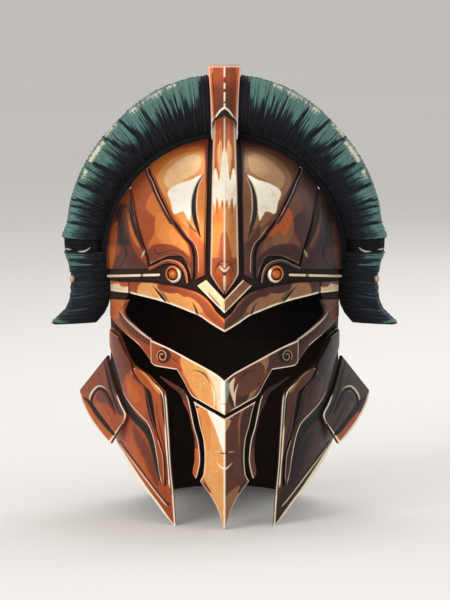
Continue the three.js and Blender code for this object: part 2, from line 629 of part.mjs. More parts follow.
// Spiral relief on the visor: turn and radius from its outer end to its eye.
const SCROLL_AT = { turn: 29.6, z: 159.4, off: 8.4 };
const SCROLL = { outer: 7.2, eye: 1.6, turns: 1.5, start: -40, half: 0.8, rise: 1.2, steps: 22 };
function scroll() {
  const o = new THREE.Vector3(...face(SCROLL_AT.turn, SCROLL_AT.z, SCROLL_AT.off));
  const du = new THREE.Vector3(...face(SCROLL_AT.turn + 0.5, SCROLL_AT.z, SCROLL_AT.off)).sub(o).normalize();
  const up = new THREE.Vector3(0, 0, 1);
  const n = new THREE.Vector3().crossVectors(du, up).normalize();
  const rings = [];
  for (let k = 0; k <= SCROLL.steps; k += 1) {
    const f = k / SCROLL.steps;
    const a = rad(SCROLL.start + 360 * SCROLL.turns * f);
    const r = lerp(SCROLL.outer - SCROLL.half, SCROLL.eye, f);
    const thin = k === 0 || k === SCROLL.steps ? 0.4 : 1;
    const put = (dr, h) => o.clone()
      .addScaledVector(du, (r + dr) * Math.cos(a))
      .addScaledVector(up, (r + dr) * Math.sin(a))
      .addScaledVector(n, h).toArray();
    rings.push([
      put(-SCROLL.half * thin, 0), put(-SCROLL.half * thin * 0.6, SCROLL.rise * thin),
      put(SCROLL.half * thin * 0.6, SCROLL.rise * thin), put(SCROLL.half * thin, 0),
    ]);
  }
  return loft(rings);
}

// ---- cheeks -------------------------------------------------------------------------
// Rear edge first, front edge second.
const CHEEK_PLATE = [
  { s0: 74, t0: 178, s1: 63.5, t1: 174 },
  { s0: 76, t0: 163, s1: 57.5, t1: 161 },
  { s0: 79, t0: 150, s1: 51.3, t1: 148.3 },
  { s0: 82, t0: 140, s1: 45, t1: 143 },
  { s0: 84, t0: 131, s1: 39.5, t1: 139 },
  { s0: 85, t0: 121, s1: 34.4, t1: 131.9 },
  { s0: 85, t0: 110, s1: 30.1, t1: 123.6 },
  { s0: 84, t0: 97, s1: 28.9, t1: 97 },
  { s0: 79, t0: 81, s1: 28.6, t1: 81 },
  { s0: 71.1, t0: 66.6, s1: 28.4, t1: 66.5 },
  { s0: 63.4, t0: 56.5, s1: 28.1, t1: 54 },
  { s0: 51.8, t0: 40.5, s1: 27.6, t1: 40 },
  { s0: 41.2, t0: 24.2, s1: 27.1, t1: 24 },
  { s0: 32.4, t0: 8, s1: 26.8, t1: 8 },
  { s0: 27.7, t0: 0, s1: 26.6, t1: 0 },
];
const CHEEK_BLADE = [
  { s0: 73.5, t0: 175, s1: 63.2, t1: 171 },
  { s0: 74.6, t0: 161, s1: 57.2, t1: 159.4 },
  { s0: 67.9, t0: 147.6, s1: 52, t1: 148.4 },
  { s0: 62.1, t0: 131, s1: 50.6, t1: 140 },
  { s0: 58.3, t0: 119, s1: 43.6, t1: 130 },
  { s0: 52.8, t0: 109.8, s1: 40.6, t1: 123 },
  { s0: 46.1, t0: 101.9, s1: 39, t1: 111 },
  { s0: 40.2, t0: 93.8, s1: 37, t1: 98 },
  { s0: 37, t0: 79.4, s1: 33.9, t1: 79.6 },
  { s0: 35.4, t0: 63, s1: 31.6, t1: 64 },
  { s0: 34.5, t0: 50, s1: 31.3, t1: 50 },
  { s0: 33, t0: 38, s1: 31.6, t1: 37 },
];
const CHEEK_RIM = [
  { s0: 49.8, t0: 143.6, s1: 48, t1: 144.3 },
  { s0: 46, t0: 134.6, s1: 41.8, t1: 141.2 },
  { s0: 41.6, t0: 128.4, s1: 37, t1: 134.6 },
  { s0: 38, t0: 123.4, s1: 31, t1: 124 },
  { s0: 36, t0: 105, s1: 29.9, t1: 108 },
  { s0: 35, t0: 91.2, s1: 29.5, t1: 93 },
  { s0: 32.4, t0: 76.2, s1: 29.2, t1: 77 },
  { s0: 30.3, t0: 60, s1: 28.8, t1: 60 },
  { s0: 30.2, t0: 46, s1: 28.4, t1: 46 },
  { s0: 30.2, t0: 36, s1: 28.1, t1: 36 },
  { s0: 29.4, t0: 29, s1: 27.9, t1: 29 },
];

// Neck flap: it lies against the cheek wall along one edge (turn, z, off) and stands
// away from it towards the back along the other (x, y, z).
const FLAP_WALL_EDGE = [
  { turn: 78.5, z: 149, off: 6.2 },
  { turn: 73, z: 136, off: 6.2 },
  { turn: 66.5, z: 122, off: 6.2 },
  { turn: 60, z: 108.5, off: 6.2 },
  { turn: 55.6, z: 98.8, off: 6.2 },
  { turn: 58, z: 91, off: 7.4 },
];
const FLAP_FREE_EDGE = [
  { x: 138.4, y: 15, z: 110.4 },
  { x: 137.2, y: 8, z: 103 },
  { x: 133, y: -4, z: 94.6 },
  { x: 126, y: -20, z: 84.6 },
  { x: 116.6, y: -38, z: 75 },
  { x: 108, y: -53.5, z: 68.8 },
];
const FLAP_STEPS = 4;
const FLAP_INWARD = [-0.864, 0.478, -0.158];
function neckFlap() {
  const grid = (depth) => FLAP_WALL_EDGE.map((w, i) => {
    const a = round(w.turn, w.z, w.off);
    const f = FLAP_FREE_EDGE[i];
    const b = [f.x, f.y, f.z];
    const line = [];
    for (let k = 0; k <= FLAP_STEPS; k += 1) {
      const g = k / FLAP_STEPS;
      line.push([0, 1, 2].map((c) => lerp(a[c], b[c], g) + depth * FLAP_INWARD[c]));
    }
    return line;
  });
  return slab(grid(0), grid(FLAP_SHEET));
}

// ---- the helmet ---------------------------------------------------------------------
const helmet = new THREE.Group();
helmet.name = 'corinthian_helmet';
helmet.add(
  skullCrown().mesh('skull_crown', DARK_BRONZE),
  skullShell(0, SHELL_ENDS.front, 0, 0, 'front').mesh('skull_front', DARK_BRONZE),
  ...both('skull_side', skullShell(SHELL_ENDS.front, SHELL_ENDS.back, SHELL_GAP, SHELL_GAP), DARK_BRONZE),
  skullShell(SHELL_ENDS.back, 180, 0, 0, 'back').mesh('skull_back', DARK_BRONZE),
  neckGuard().mesh('neck_guard', DARK_BRONZE),
  ...both('forehead_plate', plate(FOREHEAD_PLATE, 5, bowl, PLATE_SEAT, PLATE_TOP), BRONZE),
  ...both('side_plate', plate(SIDE_PLATE, 4, bowl, PLATE_SEAT, PLATE_TOP), BRONZE),
  ...both('temple_plate', plate(TEMPLE_PLATE, 5, round, PLATE_SEAT, PLATE_TOP), BRONZE),
  loft(closer(COMB_FRONT, ['over'], BOWL_STEP).map(combRing)).mesh('comb_front', BRONZE),
  loft(closer(COMB_REAR, ['over'], BOWL_STEP).map(combRing)).mesh('comb_rear', BRONZE),
  crestHolder().mesh('crest_holder', BRONZE),
  ...both('crest_base', crestBase(), LEATHER),
  ...both('crest', crest(CREST), HAIR),
  ...both('crest_band', crest(CREST_BAND), LEATHER),
  ...both('crest_tail', crest(CREST_TAIL), HAIR),
  ...both('brow_bead', browBead(), BRIGHT),
  ...both('boss_ring', bossRing(), BRIGHT),
  ...both('boss_stud', bossStud(), BRONZE),
  ...both('arch_bead', plate(ARCH_BEAD, 1, bowl, PLATE_SEAT, PLATE_TOP + 0.4), BRONZE),
  plate(mirrored(CHEVRON), 1, face, 1.4, 5.4).mesh('chevron', BRIGHT),
  plate(mirrored(BROW_PLATE), 2, face, 2.6, 5.4).mesh('brow_plate', BRONZE),
  ...both('brow_tab', plate(BROW_TAB, 1, face, 2.6, 5), BRIGHT),
  plate(mirrored(FACE_PLATE), 3, face, 5.2, 8).mesh('face_plate', BRONZE),
  ...both('visor_strap', plate(VISOR_STRAP, 3, face, 3, 5.4), BRONZE),
  ...both('scroll', scroll(), BRONZE),
  plate(guardRows, 4, face, 3, 5.2).mesh('guard_plate', BRIGHT),
  ...both('guard_fin', plate(GUARD_FIN, 1, face, 0.4, 2.6), BRONZE),
  ...both('cheek_plate', plate(CHEEK_PLATE, 6, face, 0.5, 2.5), BRONZE),
  ...both('cheek_blade', plate(CHEEK_BLADE, 4, face, 3.1, 4.9), BRONZE),
  ...both('cheek_rim', plate(CHEEK_RIM, 2, face, 3.1, 4.7), BRIGHT),
  ...both('neck_flap', neckFlap(), BRONZE),
);

export default helmet;
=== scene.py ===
import math
import random

import bpy
import numpy as np
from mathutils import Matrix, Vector


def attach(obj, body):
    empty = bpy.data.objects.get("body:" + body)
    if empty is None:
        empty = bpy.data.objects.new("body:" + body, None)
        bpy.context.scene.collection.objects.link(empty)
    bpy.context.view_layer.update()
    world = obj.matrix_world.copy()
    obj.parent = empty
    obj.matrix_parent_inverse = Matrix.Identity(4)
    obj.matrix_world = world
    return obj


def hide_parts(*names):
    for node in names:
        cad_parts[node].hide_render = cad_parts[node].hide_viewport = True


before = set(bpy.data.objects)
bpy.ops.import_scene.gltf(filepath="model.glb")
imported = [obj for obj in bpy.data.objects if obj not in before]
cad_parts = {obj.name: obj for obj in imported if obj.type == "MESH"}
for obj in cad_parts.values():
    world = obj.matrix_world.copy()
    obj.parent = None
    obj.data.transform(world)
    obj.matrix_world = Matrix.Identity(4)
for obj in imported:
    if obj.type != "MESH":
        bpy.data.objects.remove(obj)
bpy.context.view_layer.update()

MM = 0.001
COARSE = 1.0      # spacing of the plates' vertices, against the final one
rng = np.random.default_rng(20)

# ---------------------------------------------------------------- surfaces (mm)
BOWL_A, BOWL_B, BOWL_H, WIDEST = 109.0, 130.0, 111.5, 240.0
WALL = np.array([
    [0, 99, 121, 8], [50, 103, 126, 8], [100, 106, 129, 8], [150, 107, 130, 8],
    [200, 108.5, 130, 6], [240, 109, 130, 2], [262, 107, 128, 0]], float)


def pchip(x, y, xi):
    """Smooth curve through the points that never overshoots them."""
    x, y, xi = (np.asarray(v, float) for v in (x, y, xi))
    if len(x) == 1:
        return np.full(xi.shape, y[0])
    h = np.diff(x)
    d = np.diff(y) / h
    m = np.zeros(len(x))
    if len(x) == 2:
        m[:] = d[0]
    else:
        w1, w2 = 2 * h[1:] + h[:-1], h[1:] + 2 * h[:-1]
        same = d[:-1] * d[1:] > 0
        safe0, safe1 = np.where(same, d[:-1], 1.0), np.where(same, d[1:], 1.0)
        m[1:-1] = np.where(same, (w1 + w2) / (w1 / safe0 + w2 / safe1), 0.0)
        for end, (h0, h1, d0, d1) in ((0, (h[0], h[1], d[0], d[1])), (-1, (h[-1], h[-2], d[-1], d[-2]))):
            e = ((2 * h0 + h1) * d0 - h0 * d1) / (h0 + h1)
            if e * d0 <= 0:
                e = 0.0
            elif d0 * d1 <= 0 and abs(e) > 3 * abs(d0):
                e = 3 * d0
            m[end] = e
    i = np.clip(np.searchsorted(x, xi, side="right") - 1, 0, len(x) - 2)
    t = np.clip((xi - x[i]) / h[i], 0, 1)
    return ((2 * t**3 - 3 * t**2 + 1) * y[i] + (t**3 - 2 * t**2 + t) * h[i] * m[i]
            + (-2 * t**3 + 3 * t**2) * y[i + 1] + (t**3 - t**2) * h[i] * m[i + 1])


def bowl(across, over, off):
    x, t = np.radians(across), np.radians(over)
    return np.stack([(BOWL_A + off) * np.sin(x),
                     -(BOWL_B + off) * np.cos(x) * np.cos(t),
                     WIDEST + (BOWL_H + off) * np.cos(x) * np.sin(t)], -1)


def wall(turn, z, off, prow=0.0):
    u = np.radians(turn)
    h = np.clip((z - WIDEST) / (BOWL_H + off), 0, 1)
    r = np.sqrt(1 - h * h)
    low = z <= WIDEST
    a = np.where(low, np.interp(z, WALL[:, 0], WALL[:, 1]) + off, (BOWL_A + off) * r)
    b = np.where(low, np.interp(z, WALL[:, 0], WALL[:, 2]) + off, (BOWL_B + off) * r)
    p = np.where(low, np.interp(z, WALL[:, 0], WALL[:, 3]), 0)
    fade = np.clip(1 - np.abs(turn) / 40, 0, None) ** 1.4
    return np.stack([a * np.sin(u), -b * np.cos(u) - prow * p * fade, z + 0 * a], -1)


def face(turn, z, off):
    return wall(turn, z, off, 1.0)


# ------------------------------------------------- the front pattern (flat layout)
# Seams, creases, painted highlights and painted shade are laid out on a flat front pattern
# of 450 x 600 units, 0.948 mm each; the pattern is symmetric about 225.5.
TILT = math.radians(6)
AIM = np.array([0, 0, 198.5])
LOOK = np.array([0, math.cos(TILT), -math.sin(TILT)])
UP = np.array([0, math.sin(TILT), math.cos(TILT)])
REACH = 4000.0
UNIT = 0.948


def pattern(p):
    rel = p - (AIM - REACH * LOOK)
    depth = rel @ LOOK
    return (225.5 + rel[..., 0] / depth * REACH / UNIT,
            300 - (rel @ UP) / depth * REACH / UNIT)


def curve(points, n=6):
    """Catmull-Rom through pattern points (x, y, width)."""
    p = np.asarray(points, float)
    if len(p) < 3:
        return p
    q = np.vstack([2 * p[0] - p[1], p, 2 * p[-1] - p[-2]])
    out = []
    for i in range(1, len(q) - 2):
        for k in range(n):
            t = k / n
            out.append(0.5 * (2 * q[i] + (q[i + 1] - q[i - 1]) * t
                              + (2 * q[i - 1] - 5 * q[i] + 4 * q[i + 1] - q[i + 2]) * t * t
                              + (3 * q[i] - q[i - 1] - 3 * q[i + 1] + q[i + 2]) * t**3))
    out.append(p[-1])
    return np.array(out)


def ease(x):
    x = np.clip(x, 0, 1)
    return x * x * (3 - 2 * x)


class Fields:
    """Relief, finish, painted highlights and painted shade over one piece's vertices, laid out on the front pattern."""

    def __init__(self, pos, inner, ends, tone):
        x, y = pattern(pos)
        self.side = x > 225.5
        self.x = np.where(self.side, 451 - x, x)
        self.y = y
        self.pos = pos
        self.d0, self.d1 = inner      # mm from the first and the second long edge
        self.e0, self.e1 = ends       # mm from the first and the last end
        shape = x.shape
        # tone carries hue and also painted light and shade; line is black in engraved cuts and in painted shade; edge
        # is worn bright metal and painted highlight both
        self.tone = np.full(shape, float(tone))
        self.line = np.zeros(shape)
        self.edge = np.zeros(shape)
        self.teal_highlight = np.zeros(shape)
        self.disp = np.zeros(shape)
        self.unshade = np.zeros(shape)

    def near(self, points, smooth=True):
        """Distance outside a tapered stroke, in pattern units (negative inside)."""
        p = curve(points) if smooth and len(points) > 2 else np.asarray(points, float)
        best = np.full(self.x.shape, 1e9)
        for a, b in zip(p[:-1], p[1:]):
            dx, dy = b[0] - a[0], b[1] - a[1]
            t = np.clip(((self.x - a[0]) * dx + (self.y - a[1]) * dy) / (dx * dx + dy * dy + 1e-9), 0, 1)
            r = np.hypot(self.x - a[0] - t * dx, self.y - a[1] - t * dy)
            best = np.minimum(best, r - 0.5 * (a[2] + (b[2] - a[2]) * t))
        return best

    def _only(self, side):
        if side is None:
            return 1.0
        return (self.side == (side == "right")).astype(float)

    # a sunk dark stroke: engraved lines, and also wider painted shadows
    def cut(self, points, depth=0.7, dark=1.0, soft=1.05, side=None, smooth=True):
        m = ease(0.5 - self.near(points, smooth) / soft) * self._only(side)
        self.disp -= depth * m
        self.line = np.maximum(self.line, dark * m)
        return m

    # a raised bright stroke: worn metal and painted highlight both
    def bright(self, points, value=1.0, rise=0.15, soft=0.9, side=None, smooth=True):
        m = ease(0.5 - self.near(points, smooth) / soft) * self._only(side)
        self.disp += rise * m
        self.edge = np.maximum(self.edge, value * m)
        self.line *= 1 - 0.9 * m
        return m

    def inside(self, poly):
        p = np.asarray(poly, float)
        closed = np.vstack([p[-1], p, p[0], p[1]])
        pts = []
        for i in range(1, len(closed) - 2):
            for k in range(5):
                t = k / 5
                q0, q1, q2, q3 = closed[i - 1], closed[i], closed[i + 1], closed[i + 2]
                pts.append(0.5 * (2 * q1 + (q2 - q0) * t + (2 * q0 - 5 * q1 + 4 * q2 - q3) * t * t
                                  + (3 * q1 - q0 - 3 * q2 + q3) * t**3))
        pts = np.array(pts)
        best = np.full(self.x.shape, 1e9)
        odd = np.zeros(self.x.shape, bool)
        for a, b in zip(pts, np.roll(pts, -1, 0)):
            dx, dy = b[0] - a[0], b[1] - a[1]
            t = np.clip(((self.x - a[0]) * dx + (self.y - a[1]) * dy) / (dx * dx + dy * dy + 1e-9), 0, 1)
            best = np.minimum(best, np.hypot(self.x - a[0] - t * dx, self.y - a[1] - t * dy))
            if abs(dy) > 1e-9:
                odd ^= ((a[1] > self.y) != (b[1] > self.y)) & (self.x < dx * (self.y - a[1]) / dy + a[0])
        return np.where(odd, -best, best)

    # a patch of lighter or darker tone; most patches are painted highlights or painted shade
    def patch(self, poly, tone, soft=3.0, strength=1.0, side=None, bulge=0.0, unshade=0.0):
        m = ease(0.5 - self.inside(poly) / (0.5 * soft)) * strength * self._only(side)
        self.tone = self.tone * (1 - m) + tone * m
        self.disp += bulge * m
        # where a patch sets this, the painted shade of the right-hand half is lifted and the lit colours show
        self.unshade = np.maximum(self.unshade * (1 - m), m * unshade)
        return m

    def rim(self, distance, width=1.6, value=1.0, where=None, start=0.0):
        """Bright band along an edge, from its distance field in mm: worn metal and painted highlight both."""
        m = ease(1.45 * (1 - (distance - start) / width)) * ease((distance - start) / 0.25 + 1)
        if where is not None:
            m = m * where
        self.edge = np.maximum(self.edge, value * m)

    def border(self, distance, width, where=None, dark=1.0):
        """Dark chamfer along an edge, from its distance field in mm: sunk a little, its near-black colour partly dark
        patina, partly painted shade between the plates.
        """
        m = ease(1.5 - distance / width)
        if where is not None:
            m = m * where
        self.line = np.maximum(self.line, dark * m)
        self.disp -= 0.45 * m

    def range(self, lo, hi, soft=4.0, axis="y"):
        v = self.y if axis == "y" else self.x
        return ease((v - lo) / soft + 0.5) * ease((hi - v) / soft + 0.5)


# ------------------------------------------------------------------ mesh builders
def make(name, verts, faces, material, replaces=(), attrs=None, sharp=48, flip=False):
    verts = np.asarray(verts, float)
    if flip:
        verts = verts * np.array([-1, 1, 1])
    # outward faces, from the signed volume
    vol = 0.0
    for f in (faces[:, [0, 1, 2]], faces[:, [0, 2, 3]] if faces.shape[1] == 4 else None):
        if f is not None:
            a, b, c = verts[f[:, 0]], verts[f[:, 1]], verts[f[:, 2]]
            vol += np.einsum("ij,ij->i", a, np.cross(b, c)).sum()
    if vol < 0:
        faces = faces[:, ::-1]
    me = bpy.data.meshes.new(name)
    if faces.shape[1] == 4:
        polys = [tuple(dict.fromkeys(f)) for f in faces.tolist()]
        polys = [p for p in polys if len(p) > 2]
    else:
        polys = faces.tolist()
    me.from_pydata((verts * MM).tolist(), [], polys)
    me.update()
    for key, value in (attrs or {}).items():
        at = me.attributes.new(key, "FLOAT", "POINT")
        at.data.foreach_set("value", np.ascontiguousarray(value, np.float32))
    me.shade_smooth()
    if sharp:
        me.set_sharp_from_angle(angle=math.radians(sharp))
    ob = bpy.data.objects.new(name, me)
    bpy.context.scene.collection.objects.link(ob)
    me.materials.append(material)
    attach(ob, "root")
    if replaces:
        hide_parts(*replaces)
    return ob


def spread(length, step, edges):
    """Distances along a length: close together near both ends, even between."""
    k = min(1.0, length / (2.6 * edges[-1]))
    head = [e * k for e in edges]
    n = max(2, int(math.ceil((length - 2 * head[-1]) / step)))
    if n % 2:
        n += 1
    mid = np.linspace(head[-1], length - head[-1], n + 1)
    return np.concatenate([head[:-1], mid, [length - h for h in reversed(head[:-1])]])


EDGES = [0.0, 0.16, 0.38, 0.7, 1.15]


def zip_loops(a, b, ta, tb):
    """Triangles between two open chains of vertices, each with a 0..1 position."""
    out, i, j = [], 0, 0
    while i < len(a) - 1 or j < len(b) - 1:
        if j == len(b) - 1 or (i < len(a) - 1 and ta[i + 1] <= tb[j + 1]):
            out.append((a[i], a[i + 1], b[j]))
            i += 1
        else:
            out.append((a[i], b[j + 1], b[j]))
            j += 1
    return out


def sections(rows, sharp, surface, off, step, smooth_across):
    """Rows of a plate's table read as smooth curves: S, T grids and distances in mm."""
    tab = []
    for r in rows:
        s0, t0, s1, t1 = r[:4]
        if len(r) > 4:
            q = r[4:7]
        else:
            q = [t0 + (t1 - t0) * k for k in (0.25, 0.5, 0.75)]
        tab.append([s0, t0, s1, t1, *q])
    tab = np.array(tab, float)
    p0 = surface(tab[:, 0], tab[:, 1], np.full(len(tab), off))
    p1 = surface(tab[:, 2], tab[:, 3], np.full(len(tab), off))
    seg = 0.5 * (np.linalg.norm(np.diff(p0, axis=0), axis=1) + np.linalg.norm(np.diff(p1, axis=0), axis=1))
    at = np.concatenate([[0], np.cumsum(seg)])
    v = spread(at[-1], step, EDGES)
    # a table row that is a corner gets a row of vertices of its own
    for k in sharp:
        j = 1 + int(np.argmin(np.abs(v[1:-1] - at[k])))
        v[j] = at[k]
    cols = np.zeros((len(v), tab.shape[1]))
    cuts = [0, *sorted(sharp), len(tab) - 1]
    for a, b in zip(cuts[:-1], cuts[1:]):
        m = (v >= at[a] - 1e-6) & (v <= at[b] + 1e-6)
        for c in range(tab.shape[1]):
            cols[m, c] = pchip(at[a:b + 1], tab[a:b + 1, c], v[m])
    width = np.zeros(len(v))
    probe = np.linspace(0, 1, 9)
    for i in range(len(v)):
        s = cols[i, 0] + (cols[i, 2] - cols[i, 0]) * probe
        t = across(cols[i], probe, smooth_across)
        q = surface(s, t, np.full(9, off))
        width[i] = np.linalg.norm(np.diff(q, axis=0), axis=1).sum()
    u = spread(float(width.max()), step, EDGES)
    S, T, D = (np.zeros((len(v), len(u))) for _ in range(3))
    n = len(EDGES) - 1
    for i, w in enumerate(width):
        k = min(1.0, w / (2.6 * EDGES[-1]))
        head = np.array(EDGES) * k
        f = np.concatenate([head[:-1], np.linspace(head[-1], w - head[-1], len(u) - 2 * n), w - head[-2::-1]]) / w
        f = np.clip(f, 0, 1)
        S[i] = cols[i, 0] + (cols[i, 2] - cols[i, 0]) * f
        T[i] = across(cols[i], f, smooth_across)
        D[i] = f * w
    return S, T, D, width, v, at[-1]


def across(c, f, smooth):
    knots = [c[1], c[4], c[5], c[6], c[3]]
    if smooth:
        return pchip([0, 0.25, 0.5, 0.75, 1], knots, f)
    return np.interp(f, [0, 0.25, 0.5, 0.75, 1], knots)


def plate(name, rows, surface, seat, top, material, paint=None, tone=0.42, sharp=(),
          bevel=0.75, crown=0.0, crown_reach=7.0, step=None, nodes=None, mirror=False,
          pair=True, smooth_across=True, shade_mix=None, lift=None):
    """A detailed plate between its seat and its outer face, for one or both sides."""
    step = (step or 0.95) * COARSE
    S, T, D0, width, v, length = sections(rows, sharp, surface, top, step, smooth_across)
    n, m = S.shape
    D1 = width[:, None] - D0
    E0 = np.repeat(v[:, None], m, 1)
    E1 = length - E0
    d = np.minimum(np.minimum(D0, D1), np.minimum(E0, E1))
    base = surface(S, T, np.full(S.shape, float(top)))
    made = []
    sides = (False, True) if pair else (False,)
    for left in sides:
        pos = base * np.array([-1, 1, 1]) if left else base
        f = Fields(pos, (D0, D1), (E0, E1), tone)
        f.d = d
        if paint:
            paint(f)
        keep = ease(d / (bevel * 1.6))
        rr = np.clip(d / bevel, 0, 1)
        drop = bevel * (1 - np.sqrt(np.clip(1 - (1 - rr) ** 2, 0, 1)))
        off = top - drop + f.disp * keep + crown * (1 - np.exp(-d / crown_reach))
        if lift is not None:
            off = off + lift(S, T)
        off = np.maximum(off, seat + 0.1)
        outer = surface(S, T, off)
        low = surface(S, T, np.full(S.shape, float(seat)))
        # outer grid, then the full border at the seat, then a coarse grid under it
        ids = np.arange(n * m).reshape(n, m)
        quads = [np.stack([ids[:-1, :-1], ids[:-1, 1:], ids[1:, 1:], ids[1:, :-1]], -1).reshape(-1, 4)]
        loop = [(i, 0) for i in range(n - 1)] + [(n - 1, j) for j in range(m - 1)] + \
               [(i, m - 1) for i in range(n - 1, 0, -1)] + [(0, j) for j in range(m - 1, 0, -1)]
        lo = np.array([low[i, j] for i, j in loop])
        li = np.array([ids[i, j] for i, j in loop])
        k = n * m
        bi = np.arange(k, k + len(loop))
        quads.append(np.stack([li, bi, np.roll(bi, -1), np.roll(li, -1)], -1))
        ri = sorted(set(np.linspace(1, n - 2, max(2, n // 6)).astype(int)))
        rj = sorted(set(np.linspace(1, m - 2, max(2, m // 6)).astype(int)))
        ci = np.arange(k + len(loop), k + len(loop) + len(ri) * len(rj)).reshape(len(ri), len(rj))
        cv = low[np.ix_(ri, rj)].reshape(-1, 3)
        quads.append(np.stack([ci[:-1, :-1], ci[1:, :-1], ci[1:, 1:], ci[:-1, 1:]], -1).reshape(-1, 4))
        tris = []
        border = {ij: b for ij, b in zip(loop, bi)}
        sides4 = [
            ([(i, 0) for i in range(n)], ci[:, 0], ri, n),
            ([(n - 1, j) for j in range(m)], ci[-1, :], rj, m),
            ([(i, m - 1) for i in range(n - 1, -1, -1)], ci[::-1, -1], [n - 1 - r for r in reversed(ri)], n),
            ([(0, j) for j in range(m - 1, -1, -1)], ci[0, ::-1], [m - 1 - r for r in reversed(rj)], m),
        ]
        for chain, inner_ids, pos_idx, size in sides4:
            a = [border[c] for c in chain]
            ta = np.arange(size) / (size - 1)
            tb = np.array(pos_idx) / (size - 1)
            tris += zip_loops(a, list(inner_ids), ta, tb)
        tri4 = np.array([(a, b, c, c) for a, b, c in tris])
        faces = np.vstack(quads + [tri4])
        verts = np.vstack([outer.reshape(-1, 3), lo, cv])
        # painted shade: the right-hand half of every plate takes the darker copy of the colours, less where a patch
        # lifts it
        pat = f.side.astype(float) if shade_mix is None else shade_mix(f)
        if not pair:
            pat = ease((225.5 - 0.0 - np.where(f.side, 451 - f.x, f.x)) / -1.2 + 0.5) if shade_mix is None else pat
        extra = len(loop) + len(ri) * len(rj)
        def full(a, fill):
            return np.concatenate([a.reshape(-1), np.full(extra, fill)])
        # painted shade: the side walls and the underside are near black and darker in tone
        side_line = np.concatenate([np.zeros(n * m), np.full(len(loop), 0.75), np.full(len(cv), 0.85)])
        attrs = {
            "tone": full(f.tone, tone * 0.7),
            "line": np.maximum(full(f.line * keep, 0.0), side_line),
            "edge": full(f.edge, 0.0),
            "teal_highlight": full(f.teal_highlight, 0.0),
            "shade_mix": full(pat * (1 - f.unshade), float(left is False) if pair else 0.5),
        }
        label = name + (("_left" if left else "_right") if pair else "")
        node = nodes or label
        made.append(make(label + "_bronze", verts, faces, material, [node], attrs, flip=left))
    return made


def lofted(name, rings, material, nodes, attrs=None, cap=True, mirror=True, sharp=40, closed=False):
    """A closed bar through rings (n, m, 3); the ends are capped to their centres."""
    rings = np.asarray(rings, float)
    n, m = rings.shape[:2]
    ids = np.arange(n * m).reshape(n, m)
    nxt = np.roll(ids, -1, 1)
    if closed:
        ids2 = np.vstack([ids, ids[:1]])
        nx2 = np.vstack([nxt, nxt[:1]])
        faces = np.stack([ids2[:-1], nx2[:-1], nx2[1:], ids2[1:]], -1).reshape(-1, 4)
        verts = rings.reshape(-1, 3)
    else:
        faces = np.stack([ids[:-1], nxt[:-1], nxt[1:], ids[1:]], -1).reshape(-1, 4)
        a, b = n * m, n * m + 1
        c0 = np.stack([nxt[0], ids[0], np.full(m, a), np.full(m, a)], -1)
        c1 = np.stack([ids[-1], nxt[-1], np.full(m, b), np.full(m, b)], -1)
        faces = np.vstack([faces, c0, c1])
        verts = np.vstack([rings.reshape(-1, 3), rings[0].mean(0), rings[-1].mean(0)])
    made = []
    for left in ((False, True) if mirror else (False,)):
        at = {}
        for key, value in (attrs or {}).items():
            value = value[1 if left else 0] if isinstance(value, tuple) else value
            value = np.broadcast_to(np.asarray(value, float), (n, m)).reshape(-1)
            at[key] = value if closed else np.concatenate([value, [value[0], value[-1]]])
        label = name + (("_left" if left else "_right") if mirror else "")
        for key in ("tone", "line", "edge", "teal_highlight"):
            at.setdefault(key, np.zeros(len(verts)) + (0.42 if key == "tone" else 0))
        # painted shade: unless set, the right-hand copy, or the right half of a single piece, takes the darker copy of
        # the colours
        at.setdefault("shade_mix", np.zeros(len(verts)) + (0.0 if left else 1.0) if mirror else
                      ease(verts[:, 0] / 1.2 + 0.5))
        made.append(make(label + "_made", verts, faces, material,
                         [label] if nodes is None else nodes, at, sharp=sharp, flip=left))
    return made


# ---------------------------------------------------------------------- materials
def lin(h):
    c = [int(h[i:i + 2], 16) / 255 for i in (0, 2, 4)]
    return (*[x / 12.92 if x <= 0.04045 else ((x + 0.055) / 1.055) ** 2.4 for x in c], 1.0)


